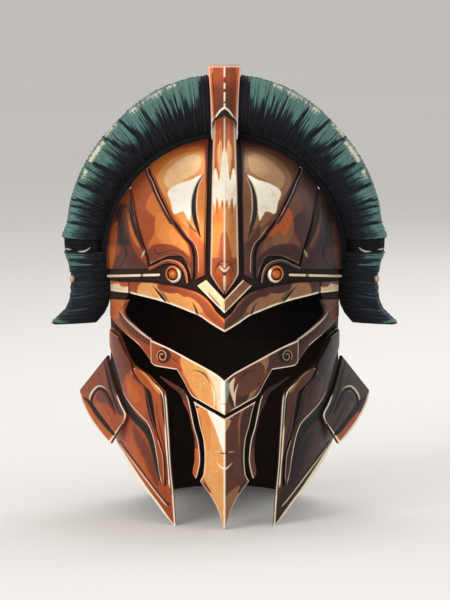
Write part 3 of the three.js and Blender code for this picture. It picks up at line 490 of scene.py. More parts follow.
class Nodes:
    def __init__(self, name):
        self.mat = bpy.data.materials.new(name)
        self.mat.use_nodes = True
        self.t = self.mat.node_tree
        self.t.nodes.clear()
        self.out = self.t.nodes.new("ShaderNodeOutputMaterial")
        self.bsdf = self.t.nodes.new("ShaderNodeBsdfPrincipled")
        self.t.links.new(self.bsdf.outputs[0], self.out.inputs[0])
        self.coord = self.t.nodes.new("ShaderNodeTexCoord").outputs["Object"]

    def link(self, a, b):
        self.t.links.new(a, b)

    def attr(self, name):
        n = self.t.nodes.new("ShaderNodeAttribute")
        n.attribute_name = name
        return n.outputs["Fac"]

    def noise(self, scale, detail=4.0, rough=0.55, stretch=None, distort=0.0):
        n = self.t.nodes.new("ShaderNodeTexNoise")
        n.inputs["Scale"].default_value = scale
        n.inputs["Detail"].default_value = detail
        n.inputs["Roughness"].default_value = rough
        n.inputs["Distortion"].default_value = distort
        src = self.coord
        if stretch:
            m = self.t.nodes.new("ShaderNodeMapping")
            m.inputs["Scale"].default_value = stretch
            self.link(src, m.inputs["Vector"])
            src = m.outputs[0]
        self.link(src, n.inputs["Vector"])
        return n.outputs["Fac"]

    def math(self, op, a, b=None, c=None, clamp=False):
        n = self.t.nodes.new("ShaderNodeMath")
        n.operation = op
        n.use_clamp = clamp
        for i, v in enumerate((a, b, c)):
            if v is None:
                continue
            if isinstance(v, (int, float)):
                n.inputs[i].default_value = v
            else:
                self.link(v, n.inputs[i])
        return n.outputs[0]

    def step(self, v, lo, hi, to_lo=0.0, to_hi=1.0):
        n = self.t.nodes.new("ShaderNodeMapRange")
        n.interpolation_type = "SMOOTHSTEP"
        self.link(v, n.inputs["Value"])
        for key, x in (("From Min", lo), ("From Max", hi), ("To Min", to_lo), ("To Max", to_hi)):
            n.inputs[key].default_value = x
        return n.outputs["Result"]

    def ramp(self, v, stops, mode="LINEAR"):
        n = self.t.nodes.new("ShaderNodeValToRGB")
        n.color_ramp.interpolation = mode
        els = n.color_ramp.elements
        while len(els) > 1:
            els.remove(els[-1])
        els[0].position, els[0].color = stops[0][0], lin(stops[0][1])
        for p, c in stops[1:]:
            els.new(p).color = lin(c)
        self.link(v, n.inputs["Fac"])
        return n.outputs["Color"]

    def mix(self, fac, a, b, mode="MIX"):
        n = self.t.nodes.new("ShaderNodeMix")
        n.data_type = "RGBA"
        n.blend_type = mode
        if isinstance(fac, (int, float)):
            n.inputs[0].default_value = fac
        else:
            self.link(fac, n.inputs[0])
        for sock, v in ((n.inputs[6], a), (n.inputs[7], b)):
            if isinstance(v, tuple):
                sock.default_value = v
            else:
                self.link(v, sock)
        return n.outputs[2]

    def bump(self, height, strength, distance, normal=None):
        n = self.t.nodes.new("ShaderNodeBump")
        n.inputs["Strength"].default_value = strength
        n.inputs["Distance"].default_value = distance
        self.link(height, n.inputs["Height"])
        if normal is not None:
            self.link(normal, n.inputs["Normal"])
        return n.outputs["Normal"]

    def set(self, **kw):
        for key, v in kw.items():
            sock = self.bsdf.inputs[key.replace("_", " ")]
            if isinstance(v, (int, float, tuple)):
                sock.default_value = v
            else:
                self.link(v, sock)


# The first ramp is the lit colouring; the second is a darker copy of it, painted shade for the side away from the key
# light.
LIT_RAMP = [(0.0, "34201F"), (0.2, "6B3520"), (0.42, "AC4E27"), (0.6, "D4732F"), (0.78, "E5A05A"), (0.92, "EDCFA4"), (1.0, "FAF2E2")]
SHADED_RAMP = [(0.0, "20151A"), (0.2, "34201F"), (0.42, "4A2B27"), (0.6, "6C412D"), (0.78, "926847"), (0.9, "B48C62"), (0.96, "E2CFAE"), (1.0, "F4EAD8")]


def bronze(name, lift=0.0, rough=0.34, hammer=0.0, metallic=0.62, stains=0.28):
    """Worked bronze: hue by the piece's tone, which also carries painted highlights and shade; a darker copy of the
    colours as painted shade on one side; bright at worn edges and painted highlights; black in the cuts and in painted
    shade.
    """
    n = Nodes(name)
    cloud = n.noise(26, 5, 0.6)
    mottle = n.noise(150, 6, 0.62)
    brush = n.noise(60, 3, 0.5, stretch=(16, 16, 1.2))
    grit = n.noise(900, 3, 0.6)
    tone = n.attr("tone")
    t = n.math("ADD", tone, lift)
    t = n.math("MULTIPLY_ADD", n.math("SUBTRACT", cloud, 0.5), 0.16, t)
    t = n.math("MULTIPLY_ADD", n.math("SUBTRACT", mottle, 0.5), 0.13, t)
    t = n.math("MULTIPLY_ADD", n.math("SUBTRACT", brush, 0.5), 0.09, t, clamp=True)
    # painted shade: this attribute blends in the darker copy of the colours, mostly on the right-hand half
    shade_fac = n.attr("shade_mix")
    colour = n.mix(shade_fac, n.ramp(t, LIT_RAMP), n.ramp(t, SHADED_RAMP))
    # dark pits and stains
    pits = n.step(n.noise(420, 4, 0.7), 0.63, 0.74)
    colour = n.mix(n.math("MULTIPLY", pits, 0.45), colour, lin("2B1713"))
    stain = n.step(n.noise(48, 6, 0.7, distort=0.6), 0.6, 0.78)
    colour = n.mix(n.math("MULTIPLY", stain, stains), colour, lin("5A2B1C"))
    # painted highlight: a light-teal tint
    teal_highlight = n.attr("teal_highlight")
    colour = n.mix(teal_highlight, colour, lin("7FA096"))
    # worn bright metal and painted highlights along the edges, broken up a little
    edge = n.attr("edge")
    wear_and_highlight = n.math("MULTIPLY", edge, n.step(mottle, 0.2, 0.5, 0.72, 1.0), clamp=True)
    # the bright colour too has a dimmer copy for the painted-shade side
    bright = n.mix(shade_fac, lin("FBEFD8"), lin("F1DFC0"))
    colour = n.mix(wear_and_highlight, colour, bright)
    # black in engraved cuts, and painted shade in gaps, under parts and beside them
    line = n.attr("line")
    colour = n.mix(line, colour, lin("0B0809"))
    r = n.math("MULTIPLY_ADD", mottle, 0.16, rough - 0.06)
    r = n.math("MULTIPLY_ADD", cloud, 0.1, r)
    r = n.math("MULTIPLY_ADD", pits, 0.15, r)
    r = n.math("MULTIPLY_ADD", line, 0.4, r, clamp=True)
    h = n.math("ADD", n.math("MULTIPLY", brush, 0.5), n.math("MULTIPLY", grit, 0.25))
    h = n.math("MULTIPLY_ADD", pits, -0.8, h)
    if hammer:
        v = n.t.nodes.new("ShaderNodeTexVoronoi")
        v.feature = "SMOOTH_F1"
        v.inputs["Scale"].default_value = 75
        v.inputs["Smoothness"].default_value = 0.6
        n.link(n.coord, v.inputs["Vector"])
        h = n.math("MULTIPLY_ADD", v.outputs["Distance"], hammer, h)
    metal = n.math("MULTIPLY_ADD", line, -0.6, metallic)
    metal = n.math("MULTIPLY_ADD", wear_and_highlight, -0.35, metal, clamp=True)
    n.set(Base_Color=colour, Roughness=r, Metallic=metal, Specular_IOR_Level=0.5,
          Normal=n.bump(h, 0.5 if hammer else 0.35, 0.0016 if hammer else 0.0004))
    return n.mat


def hair(name):
    """Dyed horsehair, teal towards the tip; dark at the root as painted shade, and painted highlights on a few tips."""
    n = Nodes(name)
    t = n.attr("tone")
    light = n.attr("edge")
    shade = n.noise(130, 4, 0.6)
    t = n.math("MULTIPLY_ADD", n.math("SUBTRACT", shade, 0.5), 0.22, t, clamp=True)
    colour = n.ramp(t, [(0.0, "0A0C14"), (0.2, "101A26"), (0.42, "21393F"), (0.6, "436A64"), (0.8, "567A72"), (1.0, "7A9C92")])
    colour = n.mix(light, colour, lin("E9DFC6"))
    n.set(Base_Color=colour, Roughness=n.math("MULTIPLY_ADD", shade, 0.25, 0.55), Metallic=0.0,
          Specular_IOR_Level=0.2, Sheen_Weight=0.08, Sheen_Roughness=0.4,
          Normal=n.bump(n.noise(2500, 2, 0.5), 0.2, 0.0002))
    return n.mat


def leather(name):
    """Dark dyed leather with a fine grain, and painted highlights where its edge attribute is set."""
    n = Nodes(name)
    grain = n.t.nodes.new("ShaderNodeTexVoronoi")
    grain.feature = "DISTANCE_TO_EDGE"
    grain.inputs["Scale"].default_value = 520
    n.link(n.coord, grain.inputs["Vector"])
    g = n.step(grain.outputs["Distance"], 0.0, 0.18)
    blotch = n.noise(70, 5, 0.6)
    colour = n.ramp(blotch, [(0.3, "07080C"), (0.55, "0B0C12"), (0.75, "12141C")])
    light = n.attr("edge")
    colour = n.mix(light, colour, lin("C9C0AC"))
    n.set(Base_Color=colour, Roughness=n.math("MULTIPLY_ADD", blotch, 0.25, 0.55), Metallic=0.0,
          Specular_IOR_Level=0.14, Normal=n.bump(g, 0.5, 0.0003))
    return n.mat


M_BRONZE = bronze("bronze_plates")
M_BRIGHT = bronze("bright_bronze_trim", lift=0.02, rough=0.3, stains=0.12)
M_DARK = bronze("dark_bronze_bowl", rough=0.3, hammer=1.1, metallic=0.9)
M_HAIR = hair("dyed_horsehair")
M_LEATHER = leather("dark_leather")


# ------------------------------------------------------- pieces: plates of the bowl
FOREHEAD = [
    (7.6, 83.4, 39.6, 81.4), (7.8, 69, 38.2, 67.5), (8, 56, 35.5, 55), (8.2, 44.5, 32.7, 44.4),
    (8.4, 34, 29.3, 35), (8.6, 25, 25.6, 26), (8.7, 21, 23.1, 22.6), (8.8, 14, 18.7, 16.2),
    (8.9, 9, 15, 11.8), (9, 4, 13.7, 6.5), (9, -2.4, 13.9, -4.8)]


def paint_forehead(f):
    # painted highlight: the upper forehead is lighter, in nested patches up to cream at their centre
    f.tone += 0.05 * f.range(145, 200)
    f.patch([(150, 172), (163, 156), (188, 148), (205, 150), (209, 175), (209, 215), (206, 243), (196, 236), (184, 232), (172, 218), (160, 196)], 0.6, 4)
    f.patch([(158, 178), (172, 160), (190, 153), (204, 154), (205, 175), (202, 200), (199, 226), (190, 228), (176, 214), (166, 196)], 0.72, 4)
    f.patch([(165, 178), (178, 162), (194, 154.5), (202, 158), (199, 172), (185, 181), (172, 190)], 0.85, 4)
    f.patch([(169, 192), (180, 184), (192, 180), (203, 175), (197, 187), (193.5, 203), (192, 216), (190, 221), (184, 212), (175, 214), (172, 203)], 1.02, 2.6)
    # painted highlight: a lighter band beside the crescent
    f.patch([(205, 176), (207.5, 192), (206.5, 215), (204, 240), (200, 228), (197.5, 212), (198.5, 195)], 0.66, 2)
    # painted shade: dark beside the comb
    f.patch([(206, 150), (210, 150), (210, 205), (207, 180)], 0.22, 2.5, 0.8)
    # painted light and shade: a darker and a lighter band low on the plate
    f.patch([(190, 226), (197, 236), (203, 243), (206, 262), (202, 280), (196, 262), (193, 245)], 0.44, 3)
    f.patch([(183, 228), (190, 236), (195, 250), (196, 278), (194, 262), (189, 247)], 0.62, 2)
    f.cut([(204.2, 174.8, 0.3), (200.6, 180, 1.6), (197.2, 188, 3.0), (195, 198, 4.2), (194.6, 209, 4.6), (196.2, 220, 3.9), (198.8, 229, 2.4), (201.5, 237, 0.3)], 0.85)
    f.cut([(196.5, 222, 1.8), (198.8, 228, 1.6), (199.6, 232.5, 0.3)], 0.5)
    f.cut([(187, 220, 0.2), (192, 226.5, 1.2), (197, 232, 0.8)], 0.25, 0.85)
    f.cut([(183.5, 209.5, 0.2), (185.5, 213, 1.0), (188, 219, 0.2)], 0.15, 0.35)
    f.cut([(186.5, 213, 0.2), (190, 220, 0.9), (193, 226, 0.2)], 0.15, 0.35)
    f.bright([(203.5, 178, 0.2), (199.8, 186, 0.9), (198.2, 196, 1.1), (197.9, 210, 0.9), (199.6, 222, 0.5)], 0.6, 0.05)
    # strip of the seam: a thin dark line just inside the edge, down to the jog
    f.border(f.d1, 1.9)
    f.border(f.d0, 1.3)
    f.rim(f.d1, 0.9, 0.5, f.range(228, 272, 6), 2.7)


SIDE = [
    (40.6, 81.2, 52.1, 79.4), (39.1, 67, 51.3, 66), (36.4, 55, 49.8, 53), (33.7, 44.4, 48.3, 42),
    (30.3, 35, 46.8, 33), (26.5, 26.4, 45.1, 25.5), (24, 21.8, 43.5, 19.8, 22, 22, 21.2),
    (19.6, 15.6, 41.8, 14.5, 17, 17.5, 16.6), (16, 10.8, 40.2, 9.6, 13, 13.6, 12.4),
    (14.9, 3.4, 38.9, 5.2, 9, 9.8, 8), (15.6, -5, 37.8, 1.6, 6.6, 6.4, 4.4)]


def paint_side(f):
    # painted light and shade: lighter and darker patches across the plate
    f.patch([(147, 205), (156, 190), (163, 205), (172, 222), (183, 236), (190, 252), (186, 262), (170, 256), (155, 256), (149, 240), (152, 222), (150, 212)], 0.6, 3.5)
    f.patch([(143, 212), (152, 214), (158, 222), (154, 236), (148, 244), (143, 232), (139, 216)], 0.4, 3)
    f.patch([(136, 192), (150, 175), (152, 190), (146, 205), (141, 212), (135, 200)], 0.45, 4)
    f.patch([(160, 212), (170, 222), (178, 236), (176, 246), (162, 242), (156, 228)], 0.66, 4)
    # thin brown strip of the double seam, cut off by a second line
    strip = f.range(166, 224, 3)
    f.disp -= 0.5 * ease(1.3 - np.abs(f.d0 - 2.5) / 1.2) * strip
    f.line = np.maximum(f.line, ease(1.5 - np.abs(f.d0 - 2.5) / 1.3) * strip)
    m = ease((1.15 - f.d0) / 0.4) * strip
    f.tone = f.tone * (1 - m) + 0.45 * m
    f.edge = np.maximum(f.edge, 0.4 * m * ease((f.d0 - 0.35) / 0.3))
    f.cut([(168, 215.5, 2.2), (172, 222.5, 3.2), (177.5, 224.5, 2.6)], 0.5, smooth=False)
    f.cut([(155, 245, 0.3), (155.6, 250.5, 1.5), (159, 254.4, 1.8), (165, 252.4, 1.0), (174, 250.6, 0.9), (182, 252.6, 0.9), (189, 258, 0.3)], 0.35, 0.85)
    f.cut([(160, 256.5, 0.3), (168, 254.8, 1.2), (178, 255, 1.3), (186, 260, 0.9), (190, 267, 0.3)], 0.3, 0.7)
    f.cut([(131, 190, 0.2), (134, 204, 1.6), (138, 222, 2.0), (144, 240, 1.8), (148, 250, 0.6)], 0.4, 0.7)
    f.bright([(151, 262, 0.4), (154, 266.4, 1.2), (160, 264, 1.0), (166, 261.4, 0.4)], 0.5, 0.05)
    f.border(f.e1, 1.0)
    f.border(f.d1, 1.5)
    f.border(f.d0, 1.7, f.range(224, 300, 2))
    f.rim(f.e1, 0.9, 0.4, None, 1.5)
    # painted shade: dark along the lower part of the plate
    f.patch([(152, 247), (160, 244), (176, 246), (190, 256), (192, 268), (180, 258), (165, 257), (155, 262), (148, 256)], 0.24, 3, 0.85)
    # painted light: an orange lit patch on the right-hand plate, with the painted side shade lifted there
    f.patch([(163, 207), (171, 208), (176, 214), (180, 222), (184, 233), (178, 236), (170, 230), (166, 236), (161, 228), (158, 216)],
            0.43, 2.5, 0.92, side="right", unshade=1.0)
    f.cut([(165, 228, 0.3), (169, 221, 1.0), (174, 216, 0.3)], 0.15, 0.6, side="right")


TEMPLE = [
    (77.6, 305, 81.6, 305), (61.4, 294.7, 82.4, 294), (52.7, 281, 82.8, 280), (45.5, 264.4, 83.2, 263),
    (42.3, 256, 83.3, 252), (39.9, 246, 83.4, 240), (38.9, 238.4, 83.4, 230)]


def paint_temple(f):
    # painted shade and light: dark brown patches with lighter ones beside them
    f.patch([(119, 206), (127, 203), (131, 212), (133, 228), (136, 242), (128, 244), (121, 232), (117, 218)], 0.2, 3, 0.9)
    f.patch([(120, 224), (127, 232), (133, 245), (140, 258), (152, 272), (116, 274), (116, 262), (122, 250), (118, 238)], 0.16, 4)
    f.patch([(112, 232), (119, 222), (118, 245), (115, 262), (111, 272)], 0.6, 3.5)
    f.patch([(124, 212), (130, 206), (135, 226), (143, 246), (141, 252), (131, 240), (126, 226)], 0.36, 3)
    f.patch([(128, 212), (131, 216), (137, 236), (141, 246), (138, 246), (131, 232)], 0.58, 1.6)
    f.cut([(125, 221, 0.3), (121.8, 228, 2.6), (122, 236, 2.6), (125, 244, 1.7), (127.6, 251, 1.4), (126.6, 258, 1.2), (123, 264, 1.1), (117.5, 266.5, 0.3)], 0.55, 0.95)
    f.cut([(130, 207, 0.8), (132.5, 219, 3.4), (136.5, 232, 3.8), (141, 243, 2.6), (144.5, 252, 0.6)], 0.7, 1.0)
    f.cut([(130, 190, 1.2), (131.6, 204, 2.6), (133.6, 216, 2.6)], 0.6, 1.0, smooth=False)
    f.border(f.d0, 1.4)
    f.bright([(148.4, 245, 0.9), (145.4, 250.5, 1.0), (143.2, 256.5, 0.6)], 0.95, 0.2)
    f.border(f.d0, 1.2)
    f.border(f.e1, 0.9)
    f.rim(f.d1, 1.2, 0.3, None, 0.7)
    f.cut([(131, 252, 0.2), (137, 262, 0.9), (140, 270, 0.2)], 0.2, 0.5)
    # painted shade: darker towards the outer edge of the plate
    f.tone -= 0.14 * f.range(205, 246, 6) * ease((133 - f.x) / 4)


ARCH = [
    (38.9, -2.2, 38.6, 0), (33.2, 0.5, 33.2, 2.5), (30, 2.2, 30.2, 4.2), (27, 2.8, 27, 4.8),
    (23.6, 2.3, 23.2, 4.2), (20.8, 0.4, 19.6, 1.8), (19.2, -2.4, 17.9, -1.8), (18.4, -7, 17.3, -6.8)]


def paint_arch(f):
    # painted shade and light: a darker and a lighter patch
    f.patch([(148, 262), (165, 260), (172, 262), (160, 268)], 0.3, 3)
    f.patch([(180, 264), (190, 276), (192, 288), (186, 280)], 0.55, 2.5)
    f.rim(f.d1, 0.7, 0.35, None, 0.5)


plate("forehead_plate", FOREHEAD, bowl, 1, 3, M_BRONZE, paint_forehead, 0.42, crown=0.7, crown_reach=9, step=0.96)
plate("side_plate", SIDE, bowl, 1, 3, M_BRONZE, paint_side, 0.42, sharp=(5, 6), crown=0.55, crown_reach=7, step=0.96)
plate("temple_plate", TEMPLE, wall, 1, 3, M_BRONZE, paint_temple, 0.34, crown=0.4, step=1.3)
plate("arch_bead", ARCH, bowl, 1, 3.4, M_BRONZE, paint_arch, 0.4, crown=0.3, crown_reach=2, bevel=0.6, step=0.7)

# ------------------------------------------------------------- pieces: brow
CHEVRON = [(12.8, 225.7, 8.5, 231.4), (6.4, 213.3, 4.3, 222.6), (0, 200.8, 0, 213.6)]
BROW = [
    (50.8, 213.9, 50.8, 224.2), (43.5, 212.5, 43.5, 225.2), (36.2, 211, 36.2, 225.8),
    (28.7, 208.5, 28.7, 225), (22, 205, 22, 223.8), (16, 201, 16, 221.6), (12, 198.2, 12, 219),
    (7, 191.8, 7, 211.6), (3.5, 187.6, 3.5, 202), (0, 183.7, 0, 196)]
TAB = [(52.6, 213.8, 52.2, 223.8), (61, 212.9, 61, 222.6), (70, 212, 70, 221.4)]
FACE = [
    (36.4, 152.4, 36.4, 173.4), (33.9, 149.3, 33.9, 172), (28, 148.4, 28, 168.4), (22.4, 147.6, 22.4, 163.9),
    (18.9, 136.6, 18.9, 160.7), (15, 123.8, 15, 157), (11.3, 119.8, 11.3, 153.5), (7.7, 115.9, 7.7, 149.8),
    (4, 112, 4, 145.7), (0, 107.6, 0, 139.4)]


def both_halves(rows):
    return [(-r[0], r[1], -r[2], r[3]) for r in rows] + [tuple(r[:4]) for r in rows[:-1][::-1]]


def paint_chevron(f):
    # painted highlight: near cream on the left half near the centre
    f.patch([(226, 296), (240, 280), (240, 320), (226, 320)], 0.9, 3, side="left")
    f.cut([(208.5, 292, 0.2), (213, 297.5, 1.6), (218, 303, 1.8), (222, 307, 0.2)], 0.35, 0.5, side="left")
    # painted shade: the right half darker
    m = (f.side).astype(float)
    f.tone = f.tone * (1 - 0.4 * m) + 0.4 * 0.36 * m
    f.rim(f.d0, 1.4, 1.0, None, 0.35)
    f.rim(f.d1, 1.1, 1.0, None, 0.35)
    f.cut([(224, 309, 1.2), (225.5, 300, 0.3)], 0.2, 0.3, smooth=False)


def paint_brow(f):
    # painted light and shade: lighter and darker patches, one near cream
    f.patch([(131, 281), (143, 284), (141, 292), (138, 299), (130, 296)], 0.38, 2.5)
    f.patch([(141, 284), (152, 282), (163, 290), (168, 303), (150, 300), (139, 295)], 0.78, 3)
    f.patch([(166, 288), (185, 297), (196, 310), (190, 316), (175, 308), (168, 298)], 0.74, 3)
    f.patch([(168, 284), (186, 288), (204, 298), (216, 312), (226, 324), (226, 333), (214, 322), (200, 308), (184, 296)], 0.36, 3.5)
    f.patch([(196, 305), (208, 318), (226, 331), (226, 336), (210, 326), (200, 318)], 0.55, 2.5)
    f.patch([(160, 284), (170, 286), (180, 292), (170, 293), (160, 289)], 0.3, 2.5)
    f.patch([(143, 297), (168, 304), (178, 310), (190, 316), (170, 309), (150, 302)], 0.93, 2.5)
    f.rim(f.d0, 2.3, 1.0, ease((f.x - 128) / 6), 0.3)
    f.cut([(152.5, 285, 0.2), (158.5, 291.5, 2.0), (163.5, 298, 3.2), (168.5, 306.5, 2.4)], 0.8, 1.0)
    f.cut([(158, 287, 0.2), (165, 295, 1.5), (172, 306, 0.4)], 0.45, 0.9)
    f.cut([(192.8, 301.5, 0.2), (196.6, 309, 1.8), (199.6, 319, 3.0)], 0.7, 1.0)
    f.cut([(129.5, 279, 1.5), (131, 296, 1.5)], 0.3, 0.9, smooth=False)
    f.bright([(160, 297, 0.3), (165, 302.5, 1.4), (167, 305, 0.4)], 0.9, 0.1)
    # painted shade: dark along the lower edge
    f.line = np.maximum(f.line, 0.55 * ease(1 - f.d1 / 1.3))
    f.patch([(184, 299), (190, 297), (199, 303), (204, 311), (198, 313), (190, 309)], 0.74, 2.5)


def paint_tab(f):
    # painted light and shade: a near-cream band with darker patches beside it
    f.patch([(110, 280), (119, 280), (119, 287), (110, 287)], 0.55, 2)
    f.patch([(110, 285), (130, 284), (130, 294), (110, 294)], 0.93, 2.5)
    f.patch([(120, 280), (130, 280), (130, 286), (122, 286)], 0.45, 2)
    f.rim(f.d0, 1.2, 1.0, None, 0.3)
    f.rim(f.e1, 1.2, 0.9, None, 0.3)


def paint_face(f):
    # painted light and shade: lighter and darker patches over the plate
    f.patch([(150, 338), (166, 344), (182, 356), (186, 362), (182, 372), (166, 369), (152, 366)], 0.42, 2.5)
    f.patch([(186, 352), (200, 362), (212, 374), (217, 392), (217, 412), (206, 408), (196, 396), (188, 380), (181, 362)], 0.77, 3)
    f.patch([(178, 368), (186, 378), (194, 392), (208, 408), (200, 402), (190, 394), (182, 380)], 0.45, 2.5)
    # painted highlight: near cream left of the centre ridge
    f.patch([(205, 366), (216, 374), (226, 383), (226, 420), (219, 413), (217, 398), (214, 384)], 0.92, 3, side="left")
    f.patch([(222, 384), (226.5, 382), (226.5, 418), (222.5, 412)], 1.05, 1.5, side="left")
    # painted shade and small highlights on the right of the ridge
    f.patch([(212, 374), (222, 384), (222, 398), (214, 412), (206, 406), (200, 388)], 0.3, 3, side="right")
    f.patch([(186, 352), (204, 366), (212, 374), (200, 372), (190, 366)], 0.74, 2.5, side="right")
    f.patch([(214, 376), (221, 384), (220, 392), (216, 402), (216, 386)], 0.95, 1.8, side="right")
    # painted highlight: a light-teal patch beside the centre ridge on the right half
    v = ease(0.5 - f.inside([(220, 384), (226, 382), (226, 404), (223, 400), (221, 392)]) / 2) * f.side
    f.teal_highlight = np.maximum(f.teal_highlight, 0.75 * v)
    f.cut([(193, 371, 0.3), (199, 371.2, 1.3), (206, 375, 1.6), (210.5, 382.5, 0.3)], 0.35, 0.9)
    f.bright([(212, 384, 0.3), (214.6, 392, 1.3), (215.4, 400, 1.5), (215, 407, 0.4)], 0.85, 0.12)
    f.cut([(220.5, 404.6, 0.3), (225.5, 403.8, 1.2)], 0.2, 0.6, smooth=False)
    f.cut([(223.8, 411, 1.4), (224.4, 412, 1.4)], 0.3, 0.7, side="right", smooth=False)
    f.cut([(191, 383, 1.7), (191.6, 384, 1.7)], 0.3, 0.9, side="right", smooth=False)
    f.cut([(171, 357, 0.3), (175, 360, 1.4), (178.5, 363.5, 0.3)], 0.3, 0.9)
    f.patch([(186, 366), (200, 360), (214, 372), (212, 396), (198, 392), (188, 382)], 0.5, 3, side="right")
    # painted shade: a sunk near-black disc round the scroll
    disc = ease(0.5 - (np.hypot(f.x - 164.2, (f.y - 355.6) * 1.0) - 7.6) / 1.2)
    f.line = np.maximum(f.line, 0.92 * disc)
    f.disp -= 0.5 * disc
    # raised centre ridge, bright at the middle line as worn metal and painted highlight both
    ridge = np.abs(225.5 - f.x)
    f.disp += 0.9 * ease(1 - ridge / 9)
    f.edge = np.maximum(f.edge, ease(1.1 - ridge / 1.3) * f.range(381, 416, 2))
    f.rim(f.d1, 1.7, 1.0, None, 0.3)
    f.rim(f.d0, 1.3, 1.0, ease((222 - f.x) / 8), 0.3)
    f.rim(f.e0, 1.2, 0.9, (~f.side).astype(float), 0.3)
    f.rim(f.e1, 1.2, 0.9, f.side.astype(float), 0.3)


plate("chevron", both_halves(CHEVRON), face, 1.4, 5.4, M_BRIGHT, paint_chevron, 0.86, sharp=(2,), bevel=0.9, pair=False, step=0.6)
plate("brow_plate", both_halves(BROW), face, 2.6, 5.4, M_BRONZE, paint_brow, 0.62, sharp=(9,), bevel=0.9, crown=0.5, crown_reach=3, pair=False, step=0.68)
plate("brow_tab", TAB, face, 2.6, 5, M_BRIGHT, paint_tab, 0.8, bevel=0.8, step=0.7)
plate("face_plate", both_halves(FACE), face, 5.2, 8, M_BRONZE, paint_face, 0.6, sharp=(3, 9, 15), bevel=0.9, pair=False, step=0.72)

# --------------------------------------------------------- pieces: visor and guard
STRAP = [
    (68.9, 204.6, 51.5, 207.6), (70.8, 197, 54, 201.5), (71, 189, 55.5, 195.9), (67.5, 185.6, 52, 189.1),
    (63.9, 183, 47.5, 184.4), (54.5, 175.4, 43.9, 180.7), (45.7, 167.6, 40.2, 177), (37, 152, 37, 173.7)]


def paint_strap(f):
    # painted light and shade: a lighter end, and a dark band along the slot
    f.patch([(112, 298), (124, 298), (124, 310), (120, 318), (113, 318)], 0.56, 3)
    f.patch([(120, 312), (128, 318), (138, 330), (152, 341), (152, 346), (138, 338), (126, 328)], 0.2, 2.5)
    f.patch([(113, 318), (124, 326), (140, 342), (150, 352), (144, 352), (128, 340), (114, 328)], 0.4, 3)
    f.cut([(113, 302, 0.4), (120, 306, 1.1), (124, 309, 0.3)], 0.2, 0.4)
    f.bright([(112.5, 320, 0.3), (119, 327.5, 1.1), (128, 335, 1.2), (136, 341, 1.1), (141, 345, 0.3)], 0.85, 0.15)
    f.cut([(111.6, 322, 0.3), (119, 330, 1.3), (130, 340, 1.4), (139, 346.5, 0.3)], 0.45, 0.9)
    f.cut([(121.5, 309, 0.4), (126, 304.5, 1.5), (131, 299.5, 1.8)], 0.5, 0.95)
    f.cut([(125, 311.5, 0.4), (129, 306, 1.3), (134, 301, 1.4)], 0.5, 0.95)
    f.bright([(122, 312, 0.4), (127, 319, 1.2), (136, 328, 1.2), (147, 336.5, 1.2), (153, 340, 1.2)], 0.6, 0.1)
    f.rim(f.d1, 1.2, 0.75, ease((f.y - 318) / 8), 0.3)
    f.rim(f.d0, 0.8, 0.25, None, 0.4)


GUARD = [
    (14.9, 119.2, 103.9), (13.7, 112, 98.4), (12, 97, 88), (10.1, 81.5, 77), (9.7, 69.4, 67.5),
    (10.5, 50.5, 50.5), (12.2, 44.7, 43.5), (9, 36.5, 36), (6, 28.3, 28.3), (2.5, 13.4, 13.4), (0.7, 0, 0)]
guard_rows = [(-s, e, s, e, (e + m) / 2, m, (e + m) / 2) for s, e, m in GUARD]
FIN = [
    (33.2, 139.8, 33.4, 138.6), (26.4, 134.4, 26.8, 130.6), (20, 128, 22.2, 124.4), (17.8, 120.5, 20.2, 116),
    (16.3, 108, 17.8, 107), (14.9, 95, 16.4, 95.6), (12.8, 80, 14.9, 80), (12.2, 65, 15.1, 65),
    (13.4, 52, 16.2, 52), (14.4, 46.5, 15.3, 47.2)]


def paint_guard(f):
    # painted shade: the right half darker
    m = f.side.astype(float) * ease((225.5 - f.x) / 1.5)
    f.tone = f.tone * (1 - 0.62 * m) + 0.62 * 0.26 * m
    # painted light and shade: a near-cream highlight left of the ridge, darker patches on the right
    f.patch([(199, 402), (206, 405), (212, 422), (210, 450), (206, 440), (201, 420)], 0.68, 3)
    f.patch([(208, 408), (226, 418), (226, 452), (222, 446), (216, 428)], 0.98, 2.5, side="left")
    f.patch([(216, 412), (226, 417), (226, 432), (222, 428)], 0.86, 2, side="right")
    f.patch([(196, 404), (206, 410), (210, 430), (208, 470), (202, 470), (204, 440)], 0.3, 3, side="right")
    f.patch([(210, 486), (226, 500), (226, 532), (218, 512)], 0.72, 4, side="right")
    f.cut([(203.4, 477, 0.4), (206.5, 484, 1.6), (212.5, 493, 0.3)], 0.4, 0.9)
    f.patch([(198, 476), (204, 482), (212, 492), (206, 490)], 0.28, 1.8)
    f.cut([(197.4, 407, 2.4), (199.4, 407.6, 1.0)], 0.3, 1.0, smooth=False)
    f.cut([(200, 413, 0.4), (201, 420, 1.0), (203, 432, 0.3)], 0.25, 0.7)
    f.cut([(218.6, 419, 2.6), (219.4, 419.4, 2.0)], 0.3, 1.0, side="right", smooth=False)
    f.cut([(219.5, 452.6, 0.3), (224.6, 453.4, 1.6)], 0.3, 0.95, smooth=False)
    f.bright([(216, 451.6, 0.3), (221, 452, 0.8)], 0.8, 0.05, smooth=False)
    f.bright([(218, 463, 0.2), (222.4, 467.4, 1.2), (225.5, 469, 2.0)], 1.0, 0.1, smooth=False)
    # raised centre ridge, bright along its middle as worn metal and painted highlight both
    ridge = np.abs(225.5 - f.x)
    f.disp += 1.3 * ease(1 - ridge / 14) ** 1.3
    f.edge = np.maximum(f.edge, ease(1.15 - ridge / 1.25))
    f.rim(f.e0, 1.9, 1.0, None, 0.3)
    f.rim(f.d0, 1.0, 0.75, None, 0.35)
    f.rim(f.d1, 1.0, 0.75, None, 0.35)


